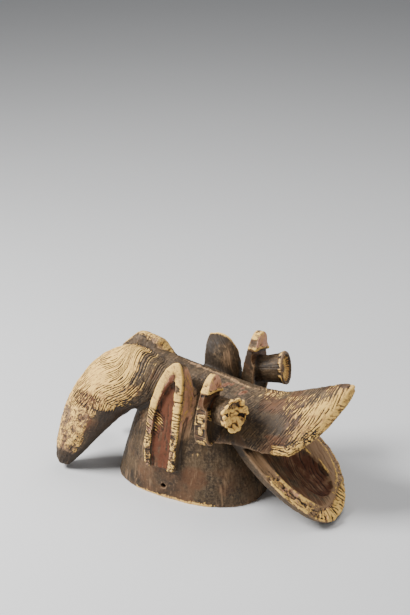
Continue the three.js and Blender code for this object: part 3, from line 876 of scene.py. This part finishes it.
def carve_horn(finish, horn):
    """Horn: grooves and pale pigment on its crest and outer side, a dark belly and tip, and painted shade
    on its inner side
    """
    side = horn["side"]
    near = side < 0
    x, y, _ = finish.points.T
    maybe = np.flatnonzero(finish.free & (x < HORN_ROOM["x"]) & (y * side > HORN_ROOM["y"]))
    along, sideways, height, radius = horn_section(horn_line(horn), finish.points[maybe], side)
    found, taken = finish.claim_among(maybe, radius < HORN_ROOM["radius"])
    along, sideways, height = along[taken], sideways[taken], height[taken]
    at = finish.points[found]
    x, _, z = at.T
    angle = np.arctan2(height, sideways)
    flow = columns(along, angle * 40, 30 * side)
    on = spots(at * (1, side, 1), HORN_SPOTS)
    pale = beyond(HORN_PAINT_EDGE, at[:, [0, 2]]) * -1
    fan = rise(pale, 10, 48)
    ragged = pale + 16 * (rough(flow, (26, 8, 1), 71) - 0.5)
    # Inner side of the horn, facing the other horn: it keeps less kaolin, and painted shade darkens it
    inside = rise(-angle, 1.2, 1.9) + rise(angle, 1.9, 2.4)
    tip = fall(z + 8 * noise(at, 9, 74), 36, 50)
    lower = fall(z + 10 * (noise(at, 16, 76) - 0.5), 116, 132)
    band, brown, smooth = on["band"], on["brown"], on["smooth"]
    grooved = (1 - lower) * (1 - 0.9 * smooth) * (1 - 0.55 * rise(pale, 60, 80)) * rise(ragged, -50, -14)
    finish.stroke(found, along, pale * (1 - fan) + angle * 45 * fan,
                  (0.66 if near else 0.25) * np.clip(grooved + 0.3 * band + 0.2, 0, 1), *STROKES["horn"])
    finish.wear(found, adze=0.8)
    lumps = rough(flow, (15, 11, 1), 72)
    finish.height[found] += 3.2 * (lumps - 0.5) * lower * rise(ragged, 0, 8)
    finish.height[found] += 1.6 * (rough(flow, (18, 14, 1), 77) - 0.5) * smooth
    cream = rise(ragged, -3, 4) * (1 - 0.8 * inside) * (1 - tip) * (1 - 0.3 * band)
    cream = cream * (0.96 - 0.18 * grooved) * (1 - lower * (0.56 - 0.52 * rise(lumps, 0.34, 0.52)))
    flecks = rise(ragged, -52, -6) * grooved * (0.64 - 0.3 * rise(z, 160, 185))
    painted = rise(ragged, 0, 6)
    rust = 0.55 * band + painted * (0.5 * brown + 0.3 * lower)
    rust = rust + 0.5 * patches(at, 24, 75, 0.48, 0.72) * (1 - tip)
    finish.add(found, cream=np.clip(np.maximum(cream - 0.35 * brown * lower, flecks), 0, 1),
               pink=(0.26 * band + 0.1 * on["reddish"]) * rise(ragged, -10, 6), rust=np.clip(rust, 0, 1),
               dark=0.72 * rise(-ragged, -4, 12) * fall(z, 130, 170) + 0.85 * tip + 0.3 * inside,
               tan=0.55 * lower * painted, curl=(lower + 0.8 * band).clip(0, 1) * rise(ragged, -4, 6))
    if not near:
        top = rise(z, 184, 204)
        kept = top * (1 - 0.9 * rise(-sideways, 14, 28))
        finish.paint["cream"][found] *= 0.3 + 0.5 * kept
        root = rise(z, 172, 192) * rise(x, -92, -72) * fall(sideways, 0, 12)
        # On the far horn the top of the inner side gets painted shade
        finish.add(found, curl=0.6 * rise(z, 150, 190), cream=kept * rise(lumps, 0.24, 0.4),
                   rust=0.45 * kept, dark=0.6 * (top - kept), tan=0.8 * root)


def jaw_half_width(along):
    """Half width of the lower jaw at a distance from the corners of the mouth"""
    back = JAW_HALF_WIDTH - JAW_NARROWING * (JAW_WIDEST - along) ** 2
    share = np.clip((along - JAW_WIDEST) / (JAW_LENGTH - JAW_WIDEST), 0, 1)
    return np.where(along < JAW_WIDEST, back, JAW_HALF_WIDTH * np.sqrt(1 - share ** 2))


def jaw_skew(along):
    """How far the lower jaw's middle lies to the left at a distance from the corners of the mouth"""
    return JAW_SKEW["start"] - JAW_SKEW["bend"] * np.maximum(along - JAW_SKEW["from"], 0) ** 2


def jaw_outline():
    """Outline of the lower jaw's upper face: down its left side and back up its right one"""
    ends = JAW_LENGTH - np.array((7, 3.5, 1, 0))
    stations = np.append(np.linspace(JAW_BACK, JAW_LENGTH - 12, 26), ends)
    middle, half_width = jaw_skew(stations), jaw_half_width(stations)
    right = columns(stations, middle - half_width)
    return np.vstack([columns(stations, middle + half_width), right[::-1]])


def claim_jaw(finish):
    """Points of the lower jaw: indices, and places and normals down, across and up from its root"""
    way = unit((JAW_TIP[0] - JAW_ROOT[0], 0, JAW_TIP[1] - JAW_ROOT[1]))
    place = Place((JAW_ROOT[0], 0, JAW_ROOT[1]), way, (0, 1, 0), np.cross(way, (0, 1, 0)))
    own = place.read(finish.points)
    down, across, up = own.T
    inside = (down > JAW_BACK) & (down < JAW_LENGTH + JAW_ROOM["end"]) & (up > -JAW_ROOM["under"])
    inside &= (up < JAW_ROOM["over"]) & (np.abs(across) < JAW_HALF_WIDTH + JAW_ROOM["side"])
    found = finish.claim(inside & (finish.points[:, 0] > JAW_ROOM["x"]))
    return found, own[found], place.turn(finish.normals[found])


def carve_jaw(finish):
    """Lower jaw: notched pale edge, raised crest, and a dark red recess in the middle whose tan streaks are
    partly painted light
    """
    found, own, normal = claim_jaw(finish)
    down, across, _ = own.T
    away, along, _ = trace(jaw_outline(), own[:, :2])
    face = rise(normal[:, 2], -0.1, 0.25)
    to_left = across - RECESS["across"]
    bowl = np.hypot((down - RECESS["along"]) / RECESS["half_length"], to_left / RECESS["half_width"])
    recess = face * fall(bowl, 0.96, 1.02)
    tip = rise(down, 146, 172)
    rim = fall(away, 5, 10)
    right = across < jaw_skew(down)
    forward = rise(down, 45, 90)
    far_rim = np.where(right, 0.25, 1.0) * rise(down, 50, 80)
    crest_line = away - 21 + 3 * (rough(own, 30, 87) - 0.5)
    crest = np.exp(-(crest_line / 3.2) ** 2) * face * (1 - tip) * rise(down, 10, 40)
    border = face * (1 - recess) * fall(crest_line, -1, 3)
    inner = face * (1 - recess) * (1 - border)
    end = tip * face * fall(away, 16, 24)
    laid = np.where(recess + inner > 0.5, 1, np.where(right & (tip < 0.5), 2, 0))
    round_end = along * (1 - 0.4 * rise(tip, 0.4, 0.6))
    finish.stroke(found, np.choose(laid, [away, down, along]),
                  np.choose(laid, [round_end, across * 0.8 + down * 0.35, away]),
                  0.36 * rim * far_rim + 0.2 * border * forward + 0.42 * end + 0.3 * recess + 0.12 * inner,
                  *STROKES["jaw"])
    mottle = rough(own, (12, 6, 8), 85)
    blotches = rise(rough(own, (9, 6, 9), 84), 0.46, 0.62)
    rounding = np.where(face > 0.5, np.where(away < 10, 0.12, 0.3), 0.8)
    finish.wear(found, rounding, 0.7, 0.7 * (1 - face))
    finish.height[found] += 3.2 * crest - 1.6 * (border + rim * face) * blotches * forward
    far_edge = np.exp(-((bowl - 1.06) / 0.08) ** 2) * face * (to_left > 0) * rise(mottle, 0.42, 0.56)
    cream = np.maximum.reduce([
        border * np.where(right, 0.84, 0.36) * rise(mottle, 0.34, 0.5) * forward * (1 - 0.5 * blotches),
        rim * 0.66 * rise(mottle, 0.3, 0.5) * rise(down, 60, 90),
        end, 0.55 * crest * forward, 0.6 * far_edge])
    tan = 0.66 * border + (0.62 - 0.25 * right) * inner + 0.4 * tip + 0.6 * crest
    # Tan streaks along the recess: partly streaks in the wood, partly painted light that brightens a bowl
    # the lights leave in shade
    streaky = patches(own, (26, 4, 8), 86, 0.3, 0.6) * recess
    faded = rise(down, 4, 34)
    dark = 0.25 * (1 - face) + 0.42 * blotches * border * right * forward + 0.1 * inner * right * (1 - tip)
    finish.add(found, cream=cream * (0.35 + 0.65 * face), red=0.5 * recess, dark=dark + 0.4 * (1 - faded),
               pink=0.5 * border * right * patches(own, 16, 88, 0.5, 0.62) * forward,
               tan=np.clip(tan * face * faded + 0.8 * streaky, 0, 1),
               rust=0.4 * border + 0.7 * inner * rise(mottle, 0.3, 0.5) + 0.45 * recess,
               curl=0.5 * border * right * forward)


def head_cream(at, ridge, head):
    """Pale lines worn on the crown, over the seam behind the eyes and on the right of the rim"""
    x, y, z = at.T
    crown = np.exp(-(y / 4.5) ** 2) * span(x, -30, -5, 92, 120) * rise(z, ridge - 6, ridge - 2)
    seam = np.exp(-((z - 178 + 0.05 * (x - 110)) / 2.2) ** 2) * span(x, 96, 104, 140, 150) * head
    uneven = 4 * noise(at, 30, 99)
    rim = 0.75 * (y < 0) * span(x, -76, -60, 56, 84) * fall(z, 2 + uneven, 4 + uneven)
    return crown, seam, rim


def head_rust(at, on, head, bare):
    """Rusty stains on the head, the upper jaw and the bell"""
    return np.maximum.reduce([
        0.75 * on["cheek"] * patches(at, 15, 90, 0.3, 0.6), 0.6 * on["bell_side"], 0.5 * on["bell_front"],
        0.56 * bare * patches(at, 22, 95, 0.3, 0.65), 0.4 * patches(at, 38, 96, 0.58, 0.8),
        0.45 * (1 - head) * patches(at, 30, 102, 0.4, 0.7) * fall(at[:, 2], 50, 90)])


def carve_head(finish):
    """Head, upper jaw and the outside of the bell: what the other forms leave"""
    found = finish.claim(np.ones(len(finish.points), bool))
    at = finish.points[found]
    x, y, z = at.T
    on = spots(columns(x, -np.abs(y), z), HEAD_SPOTS)
    fades = np.where(y < 0, 1, 0.6)
    lip = np.array(LIP, float)
    away, along, _ = trace(lip, at[:, [0, 2]])
    ridge = np.interp(x, *np.array(RIDGE, float).T)
    lip_height = np.interp(x, *lip.T)
    head = rise(z, lip_height - 6, lip_height + 4)
    jaw = rise(x, 156, 172) * head
    rear = fall(x, 200, 215)
    wide = 8 + 7 * rear
    band = jaw * fall(away, wide, wide + 2.5)
    line = jaw * np.exp(-((away - wide - 3) / 1.6) ** 2) * rear
    strip = fall(np.abs(y), 5, 9) * span(x, 202, 210, 256, 262) * rise(z, ridge - 8, ridge - 3)
    girth = np.arctan2(z - 95, np.abs(y)) * 85
    lean = (x * math.cos(STROKE_LEAN) + girth * math.sin(STROKE_LEAN),
            x * math.sin(STROKE_LEAN) - girth * math.cos(STROKE_LEAN))
    flow = columns(*lean, np.sign(y) * 50)
    beside_eye = on["beside_eye"] * (0.6 + 0.6 * rough(at, 22, 103))
    stroked = head * rise(x, 92, 130) * (1 - 0.9 * beside_eye)
    pale = rise(x + 50 * (rough(flow, (16, 4, 1), 91) - 0.5) + 0.10 * girth, 188, 212) * (1 - strip)
    pale = pale * (1 - 0.75 * rise(z, ridge - 20, ridge - 8) * fall(x, 236, 252))
    solid = rise(x + 10 * (noise(at, 14, 100) - 0.5), 206, 226)
    combed = 0.18 + 0.46 * stroked * (0.6 + 0.4 * pale) * (1 - 0.65 * solid)
    nicked = 0.3 * patches(at, 12, 101, 0.4, 0.6)
    laid = np.where(band > 0.5, np.where(x < 206, 3, 2), np.where(head > 0.5, 1, 0))
    finish.stroke(found, np.choose(laid, [z, lean[0], away, along]),
                  np.choose(laid, [np.arctan2(y, x * 0.7) * 95, lean[1], along * 0.7, away]),
                  np.choose(laid, [0.1, combed, nicked, 0.6]), *STROKES["head"])
    finish.height[found] -= 1.6 * jaw * fall(away, 3.5, 6) * patches(at, 7, 93, 0.4, 0.6) + 0.9 * line
    flecks = stroked * rise(z, 138, 152) * patches(at, 26, 94, 0.35, 0.6) * 0.41
    crown, seam, rim = head_cream(at, ridge, head)
    cream = np.maximum.reduce([(0.86 + 0.14 * solid) * pale * head, 0.95 * band, flecks, 0.36 * crown,
                               0.35 * seam, 0.3 * on["under_plate"] * fades, rim])
    red = 0.55 * on["brow"] * fades * patches(flow, (12, 2.2, 1), 89, 0.3, 0.6) * head
    pitted = on["snout_side"] * head
    sooty = patches(at, 50, 97, 0.5, 0.8)
    # The dark beside the eye is partly painted shadow of the eye tube
    dark = 0.36 * beside_eye + 0.6 * strip + 0.5 * line + 0.25 * sooty + 0.5 * pitted
    tan = 0.34 * patches(flow, (40, 9, 1), 98, 0.55, 0.8) + 0.3 * pale * head + 0.7 * crown
    finish.add(found, cream=np.clip(cream, 0, 1), red=red, pink=red,
               rust=head_rust(at, on, head, stroked * (1 - pale)),
               # The extra dark on the lowest few millimetres of the bell is painted shade where it meets
               # the floor
               dark=np.clip(dark + 0.3 * fall(z, 2, 7), 0, 1),
               curl=0.7 * band * fall(x, 205, 222) + 0.3 * pale * head + 0.9 * pitted,
               tan=tan + 0.12 * (1 - head) * rise(x, 10, 40) * fall(z, 40, 75))
    hole = np.linalg.norm((at - RIM_HOLE) * (1, 0.1, 1), axis=1)
    rounding = np.where(hole < 9, 0.05, np.where(z < 6, 0.25, np.where(away < 12, 0.3, 1)))
    finish.wear(found, rounding, adze=1 - 0.6 * pale)


def select_only(piece):
    """Leaves one object selected and active"""
    bpy.ops.object.select_all(action="DESELECT")
    piece.select_set(True)
    bpy.context.view_layer.objects.active = piece


def apply_modifier(piece, kind, **settings):
    """Adds a modifier to the piece and applies it"""
    select_only(piece)
    bpy.ops.object.modifier_add(type=kind)
    modifier = piece.modifiers[-1]
    for name, value in settings.items():
        setattr(modifier, name, value)
    bpy.ops.object.modifier_apply(modifier=modifier.name)


def rim_middle(mesh):
    """Middle of the bell's rim, in millimetres: the frame's only points on the floor"""
    places = np.array([v.co for v in mesh.vertices]) / MM
    low = places[places[:, 2] < 0.5]
    return (low.min(0) + low.max(0)) / 2 * (1, 1, 0)


def block_copy():
    """Copy of the whole block, with its points joined and its surface in even small faces"""
    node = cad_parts[NODE]
    piece = bpy.data.objects.new("carved_mask", node.data.copy())
    bpy.context.scene.collection.objects.link(piece)
    piece.data.materials.clear()
    select_only(piece)
    bpy.ops.object.mode_set(mode="EDIT")
    bpy.ops.mesh.select_all(action="SELECT")
    bpy.ops.mesh.remove_doubles(threshold=1e-6)
    bpy.ops.object.mode_set(mode="OBJECT")
    apply_modifier(piece, "REMESH", mode="VOXEL", voxel_size=bpy.context.scene.mask_carving.grain)
    return piece


def store(mesh, name, values):
    """Writes values on the mesh's points as an attribute"""
    kind, field = ("FLOAT_VECTOR", "vector") if values.ndim > 1 else ("FLOAT", "value")
    attribute = mesh.attributes.new(name, kind, "POINT")
    attribute.data.foreach_set(field, values.astype(np.float32).ravel())


def cut_surface(surface, finish):
    """Blends the forms of the block, then lays relief, adze marks, grit and slow waves on them"""
    settings = bpy.context.scene.mask_carving
    sharp = surface.softened(finish.rounding, 3)
    surface.points = surface.softened(surface.points, settings.rounding, 0.5 * sharp)
    cuts = finish.cut * grooves(finish.flow[:, 1])
    height = surface.softened(finish.height - settings.cut_depth * cuts, 1, 0.4)
    _, edge = bowls(finish.flow, ADZE_BOWL, 5)
    height = height + settings.adze_depth * finish.adze * fall(edge, 0, 0.45)
    height = height + settings.grit * (noise(surface.points, GRIT_SIZE, 8) - 0.5) * 2
    waves = rough(surface.points, WAVE_SIZE, 6) - 0.5
    height = height + settings.unevenness * finish.unevenness * waves * 2
    surface.points = surface.points + surface.normals() * height[:, None]
    surface.points[:, 2] = np.maximum(surface.points[:, 2], 0)


def store_finish(surface, finish):
    """Keeps crests, wide edges, pigments and strokes on the mesh, for the material"""
    normals = surface.normals()
    for name, rounds in (("crest", 5), ("edge", 40)):
        low = surface.softened(surface.points, rounds, 1.0)
        store(surface.mesh, name, ((surface.points - low) * normals).sum(1))
    for name, amount in finish.paint.items():
        store(surface.mesh, name, surface.softened(amount, 1, 0.4))
    store(surface.mesh, "cut", finish.cut)
    store(surface.mesh, "flow", finish.flow)


def carve():
    """The finished carving as one object"""
    middle = rim_middle(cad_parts[NODE].data)
    piece = block_copy()
    surface = Surface(piece.data, middle)
    finish = Finish(surface, surface.normals())
    carve_hollow(finish)
    for eye, plate in zip(EYES, PLATES):
        carve_eye(finish, eye, plate)
    for plate in PLATES:
        carve_plate(finish, plate)
    for ear in EARS:
        carve_ear(finish, ear)
    for horn in HORNS:
        carve_horn(finish, horn)
    carve_mouth(finish)
    carve_jaw(finish)
    carve_head(finish)
    cut_surface(surface, finish)
    store_finish(surface, finish)
    faces = 2 * len(piece.data.polygons)
    share = min(1, bpy.context.scene.mask_carving.triangles / faces)
    apply_modifier(piece, "DECIMATE", ratio=share, use_collapse_triangulate=True)
    select_only(piece)
    bpy.ops.object.shade_smooth()
    return piece


class Socket:
    """Output of a shader node; arithmetic on it adds the nodes that work it out"""

    def __init__(self, shader, output):
        self.shader = shader
        self.output = output

    def math(self, operation, first, second=0.0):
        return self.shader.node("ShaderNodeMath", {"operation": operation}, {0: first, 1: second})

    def __add__(self, other):
        return self.math("ADD", self, other)

    def __radd__(self, other):
        return self.math("ADD", other, self)

    def __sub__(self, other):
        return self.math("SUBTRACT", self, other)

    def __rsub__(self, other):
        return self.math("SUBTRACT", other, self)

    def __mul__(self, other):
        return self.math("MULTIPLY", self, other)

    def size(self):
        """The number without its sign"""
        return self.math("ABSOLUTE", self)

    def fraction(self):
        """What is left over from the whole number below"""
        return self.math("FRACT", self)

    def rise(self, low, high):
        """Smooth step from 0 at low to 1 at high"""
        settings = {"interpolation_type": "SMOOTHSTEP"}
        inputs = {"Value": self, "From Min": low, "From Max": high}
        return self.shader.node("ShaderNodeMapRange", settings, inputs)


class Shader:
    """Node tree of one material, emptied and ready to fill"""

    def __init__(self, name):
        self.material = bpy.data.materials.new(name)
        self.material.use_nodes = True
        self.tree = self.material.node_tree
        self.tree.nodes.clear()

    def node(self, kind, settings=None, inputs=None, output=0):
        """Adds a node: its settings first, then the values or links of its sockets"""
        node = self.tree.nodes.new(kind)
        for name, value in (settings or {}).items():
            setattr(node, name, value)
        for name, value in (inputs or {}).items():
            if isinstance(value, Socket):
                self.tree.links.new(value.output, node.inputs[name])
            else:
                node.inputs[name].default_value = value
        return Socket(self, node.outputs[output])

    def attribute(self, name, output="Fac"):
        return self.node("ShaderNodeAttribute", {"attribute_name": name}, output=output)

    def mix(self, share, first, second):
        """Colour between two, by share"""
        colours = {6: self.colour(first), 7: self.colour(second)}
        return self.node("ShaderNodeMix", {"data_type": "RGBA"}, {0: share, **colours}, output=2)

    def colour(self, value):
        return value if isinstance(value, Socket) else (*value, 1.0)

    def stretched(self, vector, scale):
        return self.node("ShaderNodeMapping", None, {"Vector": vector, "Scale": scale})

    def grain(self, vector, scale, detail=4.0, roughness=0.55, distortion=0.0):
        """Noise from 0 to 1"""
        inputs = {"Vector": vector, "Scale": scale, "Detail": detail, "Roughness": roughness,
                  "Distortion": distortion}
        return self.node("ShaderNodeTexNoise", None, inputs)

    def finish(self, **inputs):
        named = {name.replace("_", " "): value for name, value in inputs.items()}
        surface = self.node("ShaderNodeBsdfPrincipled", None, named)
        end = self.tree.nodes.new("ShaderNodeOutputMaterial")
        self.tree.links.new(surface.output, end.inputs["Surface"])
        return self.material


def painted_wood():
    """Dark worn wood under red camwood and pale kaolin, each rubbed off the way the carving lets it, and
    painted shade where the dark attribute lays it
    """
    colours = bpy.context.scene.mask_colours
    shader = Shader("painted_wood")
    cream, pink, red, dark, tan, rust, curl = (shader.attribute(name) for name in PIGMENTS)
    crest, edge, cut = (shader.attribute(name) for name in ("crest", "edge", "cut"))
    flow = shader.attribute("flow", "Vector")
    place = shader.node("ShaderNodeTexCoord", output="Object")
    number = shader.node("ShaderNodeSeparateXYZ", None, {"Vector": flow}, output=1)
    line = ((number.fraction() - 0.5).size() * 2).rise(*GROOVE_WALL) * cut.rise(0, 0.55)
    streaks = shader.grain(shader.stretched(flow, STREAK), 1.0, 4.0, 0.6)
    strokes = shader.grain(shader.stretched(flow, BRUSH_MARK), 1.0, 3.0, 0.6)
    mottle, blotch, speck, fine, curly = (shader.grain(place, *row) for row in PATTERNS.values())
    squiggle = (1 - (curly - 0.5).size().rise(0.018, 0.075)) * curl
    wood = shader.mix((mottle * 0.7 + streaks * 0.3).rise(0.36, 0.62), colours.wood_dark, colours.wood_mid)
    dusty = (blotch * 0.4 + speck * 0.6 + edge * 0.02).rise(0.46, 0.62)
    wood = shader.mix(dusty * 0.8, wood, colours.wood_grey)
    wood = shader.mix((rust + (mottle - 0.5) * 0.7).rise(0.25, 0.8) * 0.85, wood, colours.rust)
    wood = shader.mix((tan + (streaks - 0.5) * 1.2).rise(0.3, 0.75) * 0.9, wood, colours.tan)
    rubbed = (crest * 1.2 + edge * 0.03 + (speck - 0.5) * 0.8).rise(0.12, 0.55)
    wood = shader.mix(rubbed * 0.5, wood, colours.tan)
    # The dark attribute brings soot and dark paint, and also the painted shade that the forms lay
    soot_and_shade = (dark + (mottle - 0.5) * 0.6 - crest * 0.4).rise(0.3, 0.75)
    wood = shader.mix(soot_and_shade * 0.85, wood, colours.wood_dark)
    pink_cover = (pink + (mottle - 0.5) * 0.7 + (speck - 0.5) * 0.4 + crest * 0.2).rise(0.36, 0.6)
    base = shader.mix(pink_cover * 0.92, wood, colours.pink)
    red_cover = (red + (mottle - 0.5) * 0.5 + (strokes - 0.5) * 0.25).rise(0.34, 0.58)
    reddened = shader.mix(speck.rise(0.35, 0.7) * 0.5, colours.red, colours.rust)
    reddened = shader.mix((mottle * 0.5 + speck * 0.5).rise(0.5, 0.64) * 0.5, reddened, colours.wood_dark)
    base = shader.mix(red_cover, base, reddened)
    amount = cream * 1.15 + crest * 0.3 + (strokes - 0.5) * 1.3 + (speck - 0.5) * 0.6
    amount = amount - line * 0.95 - squiggle * 0.8
    cream_cover = amount.rise(0.46, 0.64)
    clean = amount * 0.5 + (blotch - 0.5) * 0.5 + (strokes - 0.5) * 0.9 + (speck - 0.5) * 0.7 + crest * 0.4
    clean = (clean + (fine - 0.5) * 0.3).rise(0.22, 0.62)
    clay = shader.mix(clean, colours.cream_worn, colours.cream)
    base = shader.mix(cream_cover, base, clay)
    dirt = (line * 0.9 + squiggle * 0.6 - crest * 1.1 - edge * 0.05 + (speck - 0.5) * 0.4).rise(0.2, 0.8)
    base = shader.mix(dirt * 0.8, base, colours.wood_dark)
    relief = streaks * 0.3 + strokes * 0.3 + speck * 0.5 + fine * 0.18 + cream_cover * 0.22
    relief = relief - line * 0.5 - squiggle * 0.6
    normal = shader.node("ShaderNodeBump", None, {**RELIEF, "Height": relief})
    roughness = 0.60 + (speck - 0.5) * 0.25 + cream_cover * 0.26 + red_cover * 0.1 + dusty * 0.1
    return shader.finish(Base_Color=base, Roughness=roughness, Normal=normal, IOR=1.4)


def stage_material(name, colour):
    """Smooth pale paper with the least unevenness"""
    shader = Shader(name)
    place = shader.node("ShaderNodeTexCoord", output="Object")
    cloud = shader.grain(place, 1.3, 3.0)
    dim = tuple(0.96 * level for level in colour)
    return shader.finish(Base_Color=shader.mix(cloud, dim, tuple(colour)), Roughness=0.75)


def soft_light(name, power, size, place):
    """Square soft light that points at the middle of the mask"""
    bpy.ops.object.light_add(type="AREA", location=place)
    light = bpy.context.object
    light.name = name
    light.data.energy = power
    light.data.size = size
    ahead, left, up = np.array(LIGHT_AIM) - np.array(place)
    tilt = math.atan2(math.hypot(ahead, left), -up)
    light.rotation_euler = (tilt, 0, math.atan2(left, ahead) - math.pi / 2)


class MASK_OT_carve(bpy.types.Operator):
    """Carve the mask from its block and paint it"""

    bl_idname = "mask.carve"
    bl_label = "Carve the mask"

    def execute(self, context):
        piece = carve()
        if not piece.data.polygons:
            raise RuntimeError("the carving came out empty")
        piece.data.materials.append(painted_wood())
        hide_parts(NODE)
        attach(piece, "root")
        return {"FINISHED"}


class MASK_OT_studio(bpy.types.Operator):
    """Set the floor, the soft lights and the camera round the mask"""

    bl_idname = "mask.studio"
    bl_label = "Set the studio"

    def execute(self, context):
        studio = context.scene.mask_studio
        middle = rim_middle(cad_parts[NODE].data) * MM
        bpy.ops.mesh.primitive_plane_add(size=FLOOR_SIZE, location=(0, 0, 0))
        floor = context.object
        floor.name = "floor"
        floor.data.materials.append(stage_material("pale_floor", studio.floor_colour))
        for name, light in LIGHTS.items():
            soft_light(f"{name}_light", getattr(studio, f"{name}_power"), **light)
        world = bpy.data.worlds.new("studio")
        world.use_nodes = True
        background = world.node_tree.nodes["Background"].inputs
        background["Color"].default_value = ROOM_COLOUR
        background["Strength"].default_value = ROOM_STRENGTH
        context.scene.world = world
        place = middle + np.array(studio.camera_place)
        turned = (math.pi / 2 - studio.camera_tilt, 0, studio.camera_turn - math.pi / 2)
        bpy.ops.object.camera_add(location=place, rotation=turned)
        camera = context.object
        camera.data.lens = studio.lens
        camera.data.clip_end = 50
        context.scene.camera = camera
        return {"FINISHED"}


class MASK_PT_panel(bpy.types.Panel):
    """Sidebar panel with the mask's steps and settings"""

    bl_idname = "MASK_PT_panel"
    bl_label = "Carved mask"
    bl_space_type = "VIEW_3D"
    bl_region_type = "UI"
    bl_category = "Mask"

    def draw(self, context):
        groups = (context.scene.mask_carving, context.scene.mask_colours, context.scene.mask_studio)
        for operator in (MASK_OT_carve, MASK_OT_studio):
            self.layout.operator(operator.bl_idname)
        for group in groups:
            for name in group.__annotations__:
                self.layout.prop(group, name)


CLASSES = (MaskCarving, MaskColours, MaskStudio, MASK_OT_carve, MASK_OT_studio, MASK_PT_panel)


def register():
    for made in CLASSES:
        bpy.utils.register_class(made)
    bpy.types.Scene.mask_carving = PointerProperty(type=MaskCarving)
    bpy.types.Scene.mask_colours = PointerProperty(type=MaskColours)
    bpy.types.Scene.mask_studio = PointerProperty(type=MaskStudio)


def unregister():
    for name in ("mask_carving", "mask_colours", "mask_studio"):
        delattr(bpy.types.Scene, name)
    for made in reversed(CLASSES):
        bpy.utils.unregister_class(made)


def main():
    register()
    bpy.ops.mask.carve()
    bpy.ops.mask.studio()


if __name__ == "__main__":
    main()
